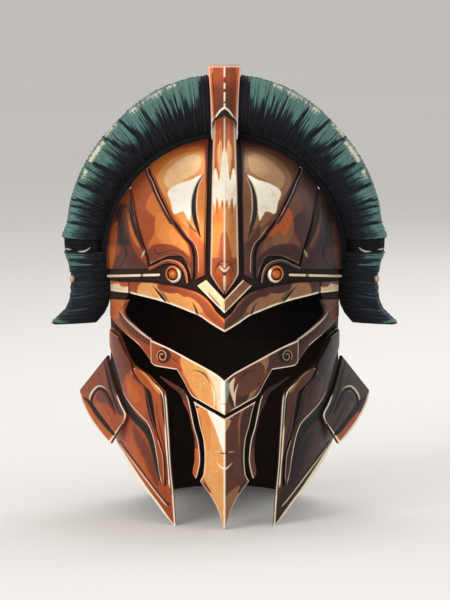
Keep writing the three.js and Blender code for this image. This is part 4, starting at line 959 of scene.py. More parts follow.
def paint_fin(f):
    # painted light and shade: a lighter patch low down, a near-black one higher up
    f.patch([(190, 452), (204, 452), (203, 482), (194, 482)], 0.5, 5)
    f.rim(f.d0, 1.0, 0.9, f.range(396, 484, 4), 0.25)
    f.patch([(155, 370), (192, 392), (190, 402), (155, 384)], 0.12, 3)


plate("visor_strap", STRAP, face, 3, 5.4, M_BRONZE, paint_strap, 0.38, bevel=0.8, crown=0.3, step=0.75)
plate("guard_plate", guard_rows, face, 3, 5.2, M_BRIGHT, paint_guard, 0.76, sharp=(5, 6), bevel=0.8, pair=False, step=0.78, smooth_across=False)
plate("guard_fin", FIN, face, 0.4, 2.6, M_BRONZE, paint_fin, 0.25, bevel=0.6, step=0.7)

# ------------------------------------------------------------------ pieces: cheeks
CHEEK = [
    (74, 178, 63.5, 174), (76, 163, 57.5, 161), (79, 150, 51.3, 148.3), (82, 140, 45, 143),
    (84, 131, 39.5, 139), (85, 121, 34.4, 131.9), (85, 110, 30.1, 123.6), (84, 97, 28.9, 97),
    (79, 81, 28.6, 81), (71.1, 66.6, 28.4, 66.5), (63.4, 56.5, 28.1, 54), (51.8, 40.5, 27.6, 40),
    (41.2, 24.2, 27.1, 24), (32.4, 8, 26.8, 8), (27.7, 0, 26.6, 0)]
BLADE = [
    (73.5, 175, 63.2, 171), (74.6, 161, 57.2, 159.4), (67.9, 147.6, 52, 148.4), (62.1, 131, 50.6, 140),
    (58.3, 119, 43.6, 130), (52.8, 109.8, 40.6, 123), (46.1, 101.9, 39, 111), (40.2, 93.8, 37, 98),
    (37, 79.4, 33.9, 79.6), (35.4, 63, 31.6, 64), (34.5, 50, 31.3, 50), (33, 38, 31.6, 37)]
RIM = [
    (49.8, 143.6, 48, 144.3), (46, 134.6, 41.8, 141.2), (41.6, 128.4, 37, 134.6), (38, 123.4, 31, 124),
    (36, 105, 29.9, 108), (35, 91.2, 29.5, 93), (32.4, 76.2, 29.2, 77), (30.3, 60, 28.8, 60),
    (30.2, 46, 28.4, 46), (30.2, 36, 28.1, 36), (29.4, 29, 27.9, 29)]


def paint_cheek(f):
    # painted shade: dark at the top and beside the blade, with lighter patches lower down
    f.patch([(112, 330), (124, 336), (136, 360), (134, 372), (127, 384), (120, 372), (114, 350)], 0.2, 4)
    f.patch([(134, 424), (146, 440), (154, 458), (160, 486), (152, 476), (144, 456), (136, 440)], 0.24, 3.5)
    f.patch([(128, 436), (140, 452), (150, 476), (160, 500), (150, 492), (136, 468), (126, 448)], 0.46, 3)
    f.patch([(118, 440), (126, 446), (120, 450)], 0.56, 2)
    # painted shadow: wide dark strokes along the blade's edge and under the strap, sunk a little
    f.cut([(106, 330, 3), (111, 350, 6), (115, 370, 7.5), (119, 386, 7.5), (124, 398, 7), (129, 408, 7), (136, 418, 7.5),
           (145, 427, 7.5), (151, 437, 6.5), (154.6, 450, 5.2), (157.6, 464, 4), (160.2, 476, 3), (161.6, 484, 0.6)], 0.35, 1.0, 1.2)
    f.cut([(126, 340, 3), (133, 352, 6), (142, 364, 6), (152, 372, 5), (160, 384, 4)], 0.3, 1.0, 1.2)
    f.cut([(133, 374, 2), (144, 385, 4), (150, 394, 7), (152, 410, 7), (155.4, 426, 5.4), (159.4, 444, 3.6), (162.6, 458, 2.4), (164, 470, 0.8)], 0.3, 1.0, 1.2)
    f.cut([(121.4, 441, 1.4), (127, 449, 1.5), (143, 471, 1.6), (157, 490, 1.6), (166, 501, 1.7), (169.5, 504.5, 3.0)], 0.4, 0.95)
    f.bright([(124, 448.6, 0.4), (140, 470, 1.0), (155, 490, 1.0), (164, 501.5, 1.0), (168, 506, 0.4)], 0.75, 0.1)
    f.cut([(119, 442, 2.4), (120, 446, 0.6)], 0.3, 0.9, smooth=False)
    f.bright([(116.2, 439.6, 1.8), (124.4, 453.6, 2.9), (132.5, 466.8, 3.0), (147.9, 489.9, 3.0), (160.2, 506.2, 2.8), (172.4, 523, 2.0)], 1.0, 0.05)
    f.rim(f.d0, 3.0, 1.0, f.range(436, 540, 6), 0.25)
    f.rim(f.d1, 2.0, 1.0, f.range(396, 540, 6), 0.25)
    f.rim(f.e1, 2.4, 1.0, None, 0.25)
    f.rim(f.d0, 1.0, 0.3, f.range(330, 400, 6), 0.5)
    # painted shade: the right-hand plate darker
    f.tone -= 0.18 * f._only("right")


def paint_blade(f):
    # painted light and shade: dark along the top, lighter on the bulge
    f.patch([(114, 330), (126, 338), (138, 362), (150, 370), (140, 372), (130, 372), (122, 384), (116, 360)], 0.22, 3.5)
    f.patch([(128, 374), (140, 384), (146, 396), (148, 412), (144, 418), (134, 408), (128, 396)], 0.45, 2.5)
    f.patch([(129, 380), (137, 386), (142, 400), (136, 402), (130, 394)], 0.52, 3, bulge=0.35)
    f.cut([(132.6, 374.4, 0.3), (137.6, 379.6, 1.9), (144, 385.4, 3.0), (148.6, 393, 6.2), (149.8, 402, 6.6), (151.6, 412, 5.6), (153.6, 421, 4.2), (156.4, 431, 2.6), (159, 440, 1.4)], 1.0)
    f.bright([(146, 384, 0.4), (152, 388.6, 1.2), (155, 395, 1.3), (155.4, 406, 1.4), (157, 420, 1.3), (160, 434, 1.3), (162.5, 443, 0.5)], 0.85, 0.2)
    f.cut([(155, 450, 0.4), (158.4, 464, 2.4), (160.6, 478, 1.6)], 0.5, 1.0)
    # painted shade: a dark patch low on the blade
    f.patch([(146, 424), (154, 436), (158, 452), (154, 450), (148, 434)], 0.18, 2)
    f.rim(f.d0, 1.5, 1.0, f.range(392, 482, 8), 0.3)
    f.rim(f.d1, 0.9, 0.35, f.range(372, 480, 8), 0.4)
    f.rim(f.e0, 0.9, 0.35, None, 0.5)
    # painted shade: the right-hand blade darker
    f.tone -= 0.16 * f._only("right")


def paint_rim(f):
    f.rim(f.d1, 1.8, 1.0, f.range(385, 486, 6), 0.25)
    # painted highlight: a lighter patch at the upper end
    f.patch([(136, 366), (150, 370), (164, 392), (158, 392), (148, 378)], 0.72, 2.5)
    f.cut([(161, 391, 0.5), (163.6, 402, 2.6), (164.6, 416, 2.4), (167, 430, 1.2), (168.4, 440, 0.3)], 0.55, 1.0)
    f.cut([(157, 404, 0.4), (160, 424, 1.2), (164.8, 446, 1.4), (167.4, 464, 1.6), (168, 480, 1.5), (166.6, 489, 1.4), (163, 492.6, 0.4)], 0.4, 0.95)
    f.rim(f.e0, 1.0, 0.6, None, 0.3)


plate("cheek_plate", CHEEK, face, 0.5, 2.5, M_BRONZE, paint_cheek, 0.42, bevel=0.7, crown=0.2, step=1.25)
plate("cheek_blade", BLADE, face, 3.1, 4.9, M_BRONZE, paint_blade, 0.38, bevel=0.7, crown=0.6, crown_reach=6, step=0.86)
plate("cheek_rim", RIM, face, 3.1, 4.7, M_BRIGHT, paint_rim, 0.42, bevel=0.7, step=0.72)


# --------------------------------------------------------------- pieces: neck flaps
FLAP_WALL = [(78.5, 149, 6.2), (73, 136, 6.2), (66.5, 122, 6.2), (60, 108.5, 6.2), (55.6, 98.8, 6.2), (58, 91, 7.4)]
FLAP_FREE = [(138.4, 15, 110.4), (137.2, 8, 103), (133, -4, 94.6), (126, -20, 84.6), (116.6, -38, 75), (108, -53.5, 68.8)]
FLAP_IN = np.array([-0.864, 0.478, -0.158])
_fw = np.array([wall(np.array(a), np.array(float(z)), np.array(o)) for a, z, o in FLAP_WALL])
_ff = np.array(FLAP_FREE, float)
_fk = np.array([0, 1, 2, 3, 4, 4.8]) / 4.8


def flap(s, t, off):
    a = np.stack([pchip(_fk, _fw[:, c], t) for c in range(3)], -1)
    b = np.stack([pchip(_fk, _ff[:, c], t) for c in range(3)], -1)
    s = np.asarray(s)[..., None]
    return a + (b - a) * s - FLAP_IN * np.asarray(off)[..., None]


def paint_flap(f):
    # painted light and shade: dark at the top, lighter patches lower down; on the right one lifts the painted side
    # shade
    f.patch([(104, 352), (112, 350), (120, 392), (126, 412), (120, 414), (112, 396)], 0.2, 3)
    f.patch([(84, 398), (92, 404), (104, 420), (116, 436), (112, 442), (98, 426), (86, 408)], 0.5, 2.5, side="left")
    f.patch([(92, 412), (100, 420), (110, 433), (116, 437), (112, 443), (100, 430), (90, 418)], 0.62, 2.5, side="right", unshade=0.8)
    f.patch([(97, 398), (101, 391), (108, 396), (114, 410), (108, 404), (101, 402)], 0.24, 2)
    f.patch([(98, 404), (104, 404), (112, 418), (117, 430), (108, 422)], 0.46, 3, bulge=0.4)
    f.cut([(84, 397, 1.0), (90, 402, 3.6), (98, 413.5, 4.6), (107, 425, 4.4), (115.5, 435.4, 2.4)], 0.9)
    f.cut([(93.4, 406, 1.0), (92.8, 399, 2.6), (95.4, 392.4, 3.3), (100.6, 388.6, 3.4), (106.6, 392, 3.2), (112, 402, 2.8), (116.8, 414, 1.2)], 0.8)
    # painted shade: darker towards the top
    f.tone -= 0.1 * f.range(340, 392, 6)
    f.bright([(90.6, 400, 0.5), (92.6, 393.4, 1.2), (98, 387, 1.3), (104, 386.6, 1.0), (108, 390, 0.4)], 0.9, 0.2)
    f.cut([(105, 362, 0.5), (109, 376, 1.8), (113, 392, 1.6), (118, 406, 1.5), (122.4, 416, 0.5)], 0.5, 0.95)
    f.cut([(100, 372, 0.2), (104, 384, 0.8), (112, 398, 1.0), (118, 412, 0.3)], 0.2, 0.55)
    f.rim(f.d1, 2.0, 1.0, f.range(380, 450, 8), 0.3)
    f.rim(f.e1, 2.2, 1.0, None, 0.25)
    f.rim(f.d0, 2.0, 0.95, f.range(396, 446, 6), 0.25)
    f.bright([(81.6, 394, 1.2), (84.4, 404, 2.0), (92, 419, 2.2), (102, 433, 2.2), (110, 442, 1.8)], 0.95, 0.05)
    # painted shade: the right-hand flap darker
    f.tone -= 0.2 * f._only("right")


plate("neck_flap", [(0, 0, 1, 0), (0, 0.25, 1, 0.25), (0, 0.5, 1, 0.5), (0, 0.75, 1, 0.75), (0, 1, 1, 1)], flap, -3, 0,
      M_BRONZE, paint_flap, 0.42, bevel=0.8, crown=0.5, step=0.96)

# ------------------------------------------------------------- pieces: neck guard
GUARD_BACK = np.array([
    (149.6, 107, 130, 92, 0), (135, 106, 130, 90, 0), (115, 104, 131, 85, 0), (92, 101, 132.5, 78, 0),
    (66, 96.5, 135.5, 68.5, 0), (38, 90.5, 139, 60, 0), (12, 86, 142.5, 53, 0), (5, 85, 143.5, 51.5, 2.5),
    (0, 84.5, 144, 50, 2.5)], float)[::-1]


def nape(s, t, off):
    w, d = (np.interp(t, GUARD_BACK[:, 0], GUARD_BACK[:, c]) for c in (1, 2))
    end = pchip(GUARD_BACK[:, 0], GUARD_BACK[:, 3], t)
    v = np.radians(s * end)
    return np.stack([(w + off) * np.sin(v), (d + off) * np.cos(v), t + 0 * v], -1)


SEAMS = (29.0, 66.0)


def back_panels(x, y):
    """Engraved seams that run from the crown down the neck, and a change of tone at each."""
    v = np.degrees(np.arctan2(np.abs(x) / BOWL_A, y / BOWL_B))
    r = np.hypot(x, y)
    line, edge, tone = np.zeros(x.shape), np.zeros(x.shape), np.zeros(x.shape)
    keep = ease((r - 42) / 5) * ease(y / 6)
    for at, shift in zip(SEAMS, (-0.07, 0.06)):
        gap = (v - at) * math.pi / 180 * r
        line = np.maximum(line, ease(1.5 - np.abs(gap) / 0.9) * keep)
        # a bright line beside each seam, worn metal and painted highlight both
        edge = np.maximum(edge, 0.36 * ease(1.4 - np.abs(gap - 2.0) / 0.55) * keep)
        tone = tone + shift * ease(gap / 1.5 + 0.5) * keep
    return line, edge, tone


# painted shade: the darker copy of the colours grows from the left of the back towards the right
def back_shade(x):
    return 0.1 + 0.78 * ease((x + 50) / 100)


def paint_nape(f):
    line, edge, tone = back_panels(f.pos[..., 0], f.pos[..., 1])
    fade = ease((f.pos[..., 2] - 15) / 1.5)
    f.line = np.maximum(f.line, line * fade)
    f.disp -= 0.5 * line * fade
    f.edge = np.maximum(f.edge, edge * fade)
    f.tone += tone
    f.tone += 0.1 * ease((f.pos[..., 2] - 70) / 60) - 0.05
    f.line = np.maximum(f.line, 0.85 * ease(1 - np.abs(f.pos[..., 2] - 14) / 0.9))
    f.disp -= 0.5 * ease(1 - np.abs(f.pos[..., 2] - 14) / 0.9)
    f.line = np.maximum(f.line, 0.8 * ease(1 - np.abs(np.minimum(f.d0, f.d1) - 5) / 0.8))
    f.disp -= 0.45 * ease(1 - np.abs(np.minimum(f.d0, f.d1) - 5) / 0.8)
    f.rim(np.minimum(f.d0, f.d1), 1.6, 0.8, ease((146 - f.pos[..., 2]) / 4), 0.35)
    f.rim(f.e1, 1.8, 0.7, None, 0.35)
    # painted shade: near black along the top edge, under the bowl's lip
    f.line = np.maximum(f.line, 0.8 * ease((f.pos[..., 2] - 147.6) / 1.6))


neck_rows = [(-1, z, 1, z) for z in (149.6, 135, 115, 92, 66, 38, 12, 5, 0)]
neck = plate("neck_guard", neck_rows, nape, -2, 0, M_DARK, paint_nape, 0.3, bevel=0.6,
             pair=False, step=2.3, shade_mix=lambda f: back_shade(f.pos[..., 0]),
             lift=lambda s, t: 2.5 * ease((13.5 - t) / 9))[0]

# --------------------------------------------------------------- pieces: the bowl
EDGE_TURN = [0, 7, 14, 22, 30, 38, 46, 53, 59, 65, 72, 180]
EDGE_Z = [191, 203, 209, 213, 216, 218, 219, 219, 206, 168, 149.75, 149.75]


def bowl_shell():
    turns = np.linspace(-180, 180, 181)[:-1]
    for at in SEAMS:                              # closer columns at the engraved seams
        for c in (180 - at, at - 180):
            turns = turns[np.abs(turns - c) > 2.6]
            turns = np.concatenate([turns, c + np.array([-2.2, -1.6, -1.1, -0.75, -0.45, -0.2, 0, 0.2, 0.45, 0.75, 1.1, 1.6, 2.2])])
    turns = np.sort(turns)
    polar = np.linspace(0.6, 90, 56)
    skirt = np.linspace(0, 1, 32)[1:]
    zl = np.interp(np.abs(turns), EDGE_TURN, EDGE_Z)
    rows = []

    def ring(q, off):
        u = np.radians(turns)
        q = math.radians(q)
        return np.stack([(BOWL_A + off) * math.sin(q) * np.sin(u), -(BOWL_B + off) * math.sin(q) * np.cos(u),
                         np.full(turns.shape, WIDEST + (BOWL_H + off) * math.cos(q))], -1)

    def low(k, off):
        z = WIDEST + (zl - WIDEST) * k
        return wall(turns, z, np.zeros(turns.shape) + off)

    for q in polar:
        r = ring(q, 0.0)
        rows.append(ring(q, -0.5 * back_panels(r[:, 0], r[:, 1])[0]))
    for k in skirt[:-1]:
        r = low(k, 0.0)
        rows.append(low(k, -0.5 * back_panels(r[:, 0], r[:, 1])[0]))
    for drop, k in ((-0.15, 0.996), (-0.6, 1.0), (-1.4, 1.0)):
        rows.append(low(k, drop))
    lap = ease((np.abs(turns) - 62) / 8)          # a thin tongue inside the joint with the neck guard
    for drop, fall in ((-2.12, 0.0), (-2.14, 1.5), (-2.5, 1.5), (-2.5, -0.8)):
        r = low(1.0, drop * lap + -1.85 * (1 - lap))
        r[:, 2] -= fall * lap
        rows.append(r)
    for k in skirt[:-1:4][::-1]:
        rows.append(low(k, -2.0))
    for q in polar[::4][::-1]:
        rows.append(ring(q, -2.0))
    outer = len(polar) + len(skirt) - 1
    rings = np.array(rows)
    n, m = rings.shape[:2]
    inside = np.zeros((n, m))
    inside[outer + 2:] = 1
    x, y, z = rings[..., 0], rings[..., 1], rings[..., 2]
    # painted shade: near black under the front plates, on the inside, and in a strip under the crest rail
    front = ease((-y + 3) / 22) * ease((250 - np.abs(x)) / 10)
    shade = np.maximum(np.maximum(front, inside), ease(1 - (np.abs(y) - 16) / 6) * (z > 236))
    line = 0.93 * shade
    # a pair of engraved lines round the back, above its lower edge
    back = 1 - front
    for h in (156, 161):
        line = np.maximum(line, 0.85 * back * (1 - inside) * ease(1 - np.abs(z - h) / 0.9))
    # a bright band above the lower edge of the back, worn metal and painted highlight both
    edge = 0.6 * back * (1 - inside) * ease(1.3 - np.abs(z - 152.6) / 1.1)
    seam, glint, shift = back_panels(x, y)
    line = np.maximum(line, seam * (1 - inside) * back)
    edge = np.maximum(edge, glint * (1 - inside) * back * (1 - line))
    tone = 0.34 + 0.04 * np.sin(z / 17) + shift + 0.12 * ease((z - 300) / 60)
    return lofted("skull", rings, M_DARK,
                  ["skull_crown", "skull_front", "skull_side_left", "skull_side_right", "skull_back"],
                  {"tone": tone, "line": line, "edge": edge, "shade_mix": back_shade(x)}, mirror=False, sharp=60)[0]


bowl_shell()

# ------------------------------------------------------------------ pieces: combs
COMB_F = np.array([
    (-11.4, 1.2, 2.6, 3.2), (-9, 4.6, 4.4, 6.4), (-5.5, 9.2, 5.8, 8.8), (-1, 13.3, 6.6, 10), (14, 12.8, 6.6, 10),
    (29, 12.3, 6.6, 10), (44, 11.8, 7, 10.4), (56, 11.4, 9, 12.4), (66, 11.1, 13, 16.4), (74, 10.9, 18, 22),
    (80.6, 10.8, 22.4, 30)])
COMB_R = np.array([
    (99.4, 10.8, 22.4, 30), (106, 10.9, 18, 22), (114, 11, 13, 16.4), (124, 11, 9, 12.4), (137, 11, 7, 10.4),
    (151, 11, 6.6, 9.6), (166, 11, 6.4, 9.2), (180, 10.6, 6, 8.8), (194, 9.4, 5, 7.4), (206, 6.6, 4, 5.6), (212, 2, 2.4, 3)])
NAPE_DROP, HOLDER_RIDGE, FIT_GAP = 2.2, 23.0, 0.4


def comb_point(over, x, off):
    if over > 180:
        p = wall(np.array(180.0), np.array(WIDEST - (over - 180) * NAPE_DROP), np.array(off))
    elif over < 0:
        p = wall(np.array(0.0), np.array(WIDEST + BOWL_H * math.sin(math.radians(over))), np.array(off))
    else:
        p = bowl(np.array(0.0), np.array(over), np.array(off))
    y, limit = p[1], HOLDER_RIDGE + FIT_GAP
    if 70 < over < 90:
        y = min(y, -limit)
    if 90 < over < 110:
        y = max(y, limit)
    return [x, y, p[2]]


def comb(name, table, count, steps=40):
    overs = np.linspace(table[0, 0], table[-1, 0], count)
    # rows close to both ends for the rounded edges
    pad = 0.35
    overs = np.unique(np.concatenate([overs, [table[0, 0] + pad * 0.4, table[0, 0] + pad, table[-1, 0] - pad, table[-1, 0] - pad * 0.4]]))
    w, side, ridge = (pchip(table[:, 0], table[:, c], overs) for c in (1, 2, 3))
    rings, fx = [], []
    for i, over in enumerate(overs):
        end = min(over - table[0, 0], table[-1, 0] - over) / pad
        cut = 0.7 * (1 - math.sqrt(max(0, 1 - (1 - min(1, end)) ** 2)))
        ring, fr = [], []
        half = max(0.6, w[i] - cut * 0.6)
        for k in range(9):                       # up one side wall
            g = k / 9
            ring.append((-half, 1 + (side[i] - 1.4 - cut) * g))
            fr.append(-1.0)
        for k in range(steps + 1):
            g = -1 + 2 * k / steps
            a = abs(g)
            h = side[i] + (ridge[i] - side[i]) * (1 - a) ** 1.06
            h -= 1.2 * ease((a - 0.86) / 0.14) ** 2 * 0.9
            h += 0.5 * ease(1 - a / 0.1)          # raised line of the ridge
            ring.append((half * g, h - cut))
            fr.append(g)
        for k in range(9):
            g = 1 - (k + 1) / 9
            ring.append((half, 1 + (side[i] - 1.4 - cut) * g))
            fr.append(1.0)
        rings.append([comb_point(over, x, h) for x, h in ring])
        fx.append(fr)
    return overs, np.array(rings), np.array(fx), w


def comb_front():
    overs, rings, g, w = comb("comb_front", COMB_F, 230, 38)
    n, m = g.shape
    z0 = np.zeros((n, m))
    far = np.abs(g) * w[:, None]
    edge_mm = w[:, None] - far
    f = Fields(rings, (edge_mm, edge_mm), (z0 + 9, z0 + 9), 0.44)
    # painted shade: a little darker at the upper end, near the holder
    f.patch([(211, 108), (240, 108), (240, 150), (211, 150)], 0.38, 8)
    # long light streaks along the comb, painted highlights
    s = np.abs(g)
    for a, b, lo, hi, v, wd in (
            (0.80, 0.86, 118, 290, 0.86, 0.07), (0.62, 0.66, 135, 262, 0.62, 0.06), (0.40, 0.44, 125, 240, 0.66, 0.07),
            (0.22, 0.26, 140, 300, 0.74, 0.06), (0.52, 0.5, 165, 225, 0.9, 0.05)):
        m1 = ease(1 - np.abs(s - (a + (b - a) * (f.y - lo) / (hi - lo))) / wd) * f.range(lo, hi, 34)
        f.tone = f.tone * (1 - m1) + v * m1
    # painted highlights: a white patch with amber round it, darker patches lower down
    f.patch([(212, 216), (218, 210), (225, 214), (225, 262), (219, 268), (213, 262)], 0.6, 2.5, 0.9, side="left")
    f.patch([(214, 176), (217, 168), (220, 180), (222, 160), (226, 148), (226, 206), (223, 200), (221, 212), (218, 198), (216, 216), (213.5, 204)], 1.0, 2.6, 0.97)
    f.patch([(218, 150), (222, 140), (223, 158), (220, 172)], 0.9, 2.5, 0.8)
    f.patch([(213, 205), (218, 214), (222, 206), (226, 214), (226, 262), (221, 244), (217, 262), (213, 262)], 0.74, 4, 0.9)
    f.patch([(221, 240), (226, 232), (226, 262), (222, 262)], 0.42, 3, 0.85)
    f.patch([(211, 262), (219, 258), (226, 264), (226, 300), (216, 288)], 0.44, 3)
    right = f.side.astype(float)
    # painted shade: the far half takes the darker copy of the colours at about half strength, set where the piece is
    # made below
    f.cut([(216.5, 268, 0.2), (219.6, 265, 1.2), (222.6, 264.6, 0.3)], 0.25, 0.8)
    f.cut([(215.5, 275, 0.2), (217, 268, 1.2), (221, 262, 1.4), (224.6, 261.5, 1.0)], 0.35, 0.85)
    f.cut([(224.2, 273, 2.0), (225.5, 276, 1.6)], 0.35, 0.9, smooth=False)
    f.bright([(220.6, 266.8, 0.6), (223.4, 270, 1.4), (225.5, 271.2, 1.9)], 1.0, 0.25, smooth=False)
    f.bright([(225.5, 276.5, 2.4), (225.5, 290, 2.0)], 0.8, 0.2, smooth=False)
    # bright along the ridge and both bevels, as worn metal and painted highlight both
    mid = np.abs(225.5 - f.x)
    f.edge = np.maximum(f.edge, ease(1.1 - mid / 1.15) * f.range(118, 268, 3))
    f.edge = np.maximum(f.edge, 0.85 * ease(1 - np.abs(edge_mm - 1.0) / 0.9) * f.range(126, 300, 8))
    # painted shade: near black at the top end under the holder, and on the side walls
    top = ease((overs[:, None] - 77.9 + 0 * g) / 0.7)
    f.line = np.maximum(f.line, top)
    f.edge *= 1 - top
    f.line = np.maximum(f.line, 0.9 * (np.abs(g) >= 0.999))
    n_out = rings - np.array([0, 0, 150.0])
    n_out /= np.linalg.norm(n_out, axis=-1, keepdims=True)
    rings = rings + n_out * f.disp[..., None]
    # painted shade: darker paint on the lower left, where the key light reflects
    f.tone -= 0.12 * f.range(214, 262, 10) * f._only("left")
    lofted("comb_front", rings, M_BRONZE, ["comb_front"],
           {"tone": f.tone, "line": f.line, "edge": f.edge, "shade_mix": 0.55 * ease((rings[..., 0] - 1) / 6)}, mirror=False, sharp=55)


def comb_rear():
    overs, rings, g, w = comb("comb_rear", COMB_R, 190, 22)
    far = np.abs(g) * w[:, None]
    edge_mm = w[:, None] - far
    # bright along the bevels and the ridge, as worn metal and painted highlight both; a lighter band on each face is a
    # painted highlight; the side walls are near black, painted shade
    edge = np.maximum(0.75 * ease(1 - np.abs(edge_mm - 1.0) / 0.9), ease(1.1 - far / 1.1))
    lofted("comb_rear", rings, M_BRONZE, ["comb_rear"],
           {"tone": 0.42 + 0.12 * ease(1 - np.abs(np.abs(g) - 0.45) / 0.3), "line": 0.8 * (np.abs(g) >= 0.999),
            "edge": edge, "shade_mix": 0.25 + 0 * g}, mirror=False, sharp=55)


comb_front()
comb_rear()

# ------------------------------------------------------------- pieces: crest holder
HOLDER_TOP, HOLDER_HALF_TOP, HOLDER_HALF_FOOT, HOLDER_CORNER = 421.0, 15.2, 10.5, 20.5


def holder():
    per = []                                     # outline, counter-clockwise from above
    def edge(p, q, n):
        for k in range(n):
            per.append([p[0] + (q[0] - p[0]) * k / n, p[1] + (q[1] - p[1]) * k / n])
    c, r = HOLDER_CORNER, HOLDER_RIDGE
    edge((-1, -c), (0, -r), 24)
    edge((0, -r), (1, -c), 24)
    edge((1, -c), (1, c), 14)
    edge((1, c), (0, r), 24)
    edge((0, r), (-1, c), 24)
    edge((-1, c), (-1, -c), 14)
    per = np.array(per)
    m = len(per)
    foot = []
    for px, py in per:
        x = px * HOLDER_HALF_FOOT
        foot.append(WIDEST + (BOWL_H + 1) * math.sqrt(1 - (x / BOWL_A) ** 2 - (py / BOWL_B) ** 2))
    foot = np.array(foot)
    ks = np.concatenate([np.linspace(0, 0.985, 120), [0.992, 0.997, 1.0]])
    rings = []
    for k in ks:
        half = HOLDER_HALF_FOOT + (HOLDER_HALF_TOP - HOLDER_HALF_FOOT) * k
        z = foot + (HOLDER_TOP - foot) * k
        inset = 0.0
        if k > 0.985:
            inset = {0.992: 0.2, 0.997: 0.55, 1.0: 1.2}[float(round(k, 3))]
        sx, sy = (half - inset) / half, (HOLDER_RIDGE - inset) / HOLDER_RIDGE
        rings.append(np.stack([per[:, 0] * half * sx, per[:, 1] * sy, z], -1))
    for f in (0.8, 0.5, 0.2):                    # the flat top
        last = np.array(rings[len(ks) - 1])
        rings.append(last * np.array([f, f, 1]))
    rings = np.array(rings)
    n = len(rings)
    kk = np.concatenate([ks, [1, 1, 1]])[:, None] + 0 * per[:, 0][None]
    x, y, z = rings[..., 0], rings[..., 1], rings[..., 2]
    halfs = np.abs(x[:, [0]])
    front = (per[None, :, 1] < -20.4) & (kk < 1)
    back = (per[None, :, 1] > 20.4) & (kk < 1)
    inset = halfs - np.abs(x)
    flat = front | back
    disp = np.zeros(x.shape)
    line = np.zeros(x.shape)
    edge = np.zeros(x.shape)
    tone = np.full(x.shape, 0.44)
    # a thin cut down each side with a plain border outside it; the panel between stays flat and is painted darker, as
    # painted shade of a sunk panel, and the face is lighter towards the top
    c1 = ease(1 - np.abs(inset - 3.4) / 0.75) * flat * ease((416 - z) / 3)
    disp -= 0.7 * c1
    line = np.maximum(line, c1)
    inner = ease((inset - 3.8) / 1.0) * flat
    tone = tone * (1 - inner) + inner * (0.2 + 0.04 * np.sin(z / 9.0))
    tone = tone + 0.12 * ease((z - 400) / 12) * flat
    # bright along the borders and the top edge, as worn metal and painted highlight both
    edge = np.maximum(edge, 0.55 * ease(1 - np.abs(inset - 0.6) / 0.8) * flat)
    edge = np.maximum(edge, 0.5 * ease(1 - np.abs(z - HOLDER_TOP + 0.5) / 0.9))
    # broken bright line down the middle
    mid = ease(1.15 - np.abs(x) / 0.95) * flat
    dash = np.zeros(x.shape)
    for lo, hi in ((411, 421), (400, 405.5), (388, 397), (379, 386.5)):
        dash = np.maximum(dash, ease((z - lo) / 0.9 + 0.5) * ease((hi - z) / 0.9 + 0.5))
    edge = np.maximum(edge, mid * dash)
    line = np.maximum(line, 0.5 * mid * (1 - dash))
    # painted highlight: a bright V just above the comb's end; painted shade below it, over the comb
    hf = Fields(rings, (0 * x, 0 * x), (0 * x, 0 * x), 0)
    vee = [(212, 122.4, 1.2), (216.5, 117.2, 1.5), (221, 111, 1.7), (225.5, 107.4, 1.9)]
    m = ease(0.5 - hf.near(vee, smooth=False) / 0.8) * front
    under = ease(0.5 - hf.near([(212, 127, 5), (217, 121, 6), (221.4, 115.4, 6), (225.5, 112, 6)], smooth=False) / 0.9) * front
    line = np.maximum(line, under)
    edge = edge * (1 - under)
    edge = np.maximum(edge, 0.95 * m)
    line = line * (1 - m)
    push = np.where(front, -1.0, np.where(back, 1.0, 0.0))
    rings[..., 1] += -push * -1 * disp * 1.0
    # painted shade: the right half takes some of the darker copy of the colours
    lofted("crest_holder", rings, M_BRONZE, ["crest_holder"],
           {"tone": tone, "line": line, "edge": edge, "shade_mix": 0.25 * ease((x - 2) / 5)}, mirror=False, sharp=35)


holder()

# ------------------------------------------------ pieces: leather rail under the crest
def rail():
    downs = np.linspace(6.4, 91.2, 120)
    base = [(-12, 1), (-12, 3), (-12, 5), (-11.4, 6.4), (-10.2, 7.2), (-8.4, 7.9), (-6, 8), (-3, 8), (0, 8.05), (3, 8), (6, 8),
            (8.4, 7.9), (10.2, 7.2), (11.4, 6.4), (12, 5), (12, 3), (12, 1), (6, 1), (0, 1), (-6, 1)]
    rings = []
    for i, d in enumerate(downs):
        r = math.radians(d)
        end = min(i, len(downs) - 1 - i)
        pinch = 0.5 if end == 0 else 0.15 if end == 1 else 0
        rings.append([[(BOWL_A + off) * math.sin(r), y * (1 - 0.03 * pinch), WIDEST + (BOWL_H + off) * math.cos(r)]
                      for y, off in base])
    lofted("crest_base", rings, M_LEATHER, None, {}, sharp=50)


rail()

# ----------------------------------------------------------------- pieces: the crest
CREST = np.array([
    (12.2, 360.4, 15.4, 411.2), (20.5, 358.5, 23.2, 410.4), (40.3, 353.2, 57.8, 400.2), (58.9, 344.3, 83.2, 384.8), (75.6, 332.2, 104.5, 364.6),
    (90.1, 317.4, 122.7, 343), (101.9, 300.2, 136.5, 318.8), (110.5, 281.1, 145.5, 293), (115, 265, 149.3, 272),
    (116.8, 256, 154, 259.5)])
BAND = np.array([(116.9, 255.5, 151.4, 258.6), (117.5, 250, 151.2, 252), (117.6, 244.6, 150.4, 245.4)])
TAIL = np.array([
    (111.6, 243.2, 151.4, 244.8), (111.2, 232, 146.6, 229.5), (110.9, 220, 145.2, 217), (111.1, 208.5, 146.2, 202.5),
    (112, 199, 149.5, 192.5), (114.8, 189.5, 156.5, 184), (122.5, 178.4, 163.8, 177.6)])
SWELL = np.array([(0, 0.55), (0.14, 0.8), (0.5, 1), (0.88, 0.88), (1, 0.5)])
CREST_HALF = 16.5


def along(table, q):
    at = np.concatenate([[0], np.cumsum(np.hypot(np.diff(table[:, 2]), np.diff(table[:, 3])))])
    at /= at[-1]
    return np.stack([pchip(at, table[:, c], q) for c in range(4)], -1)


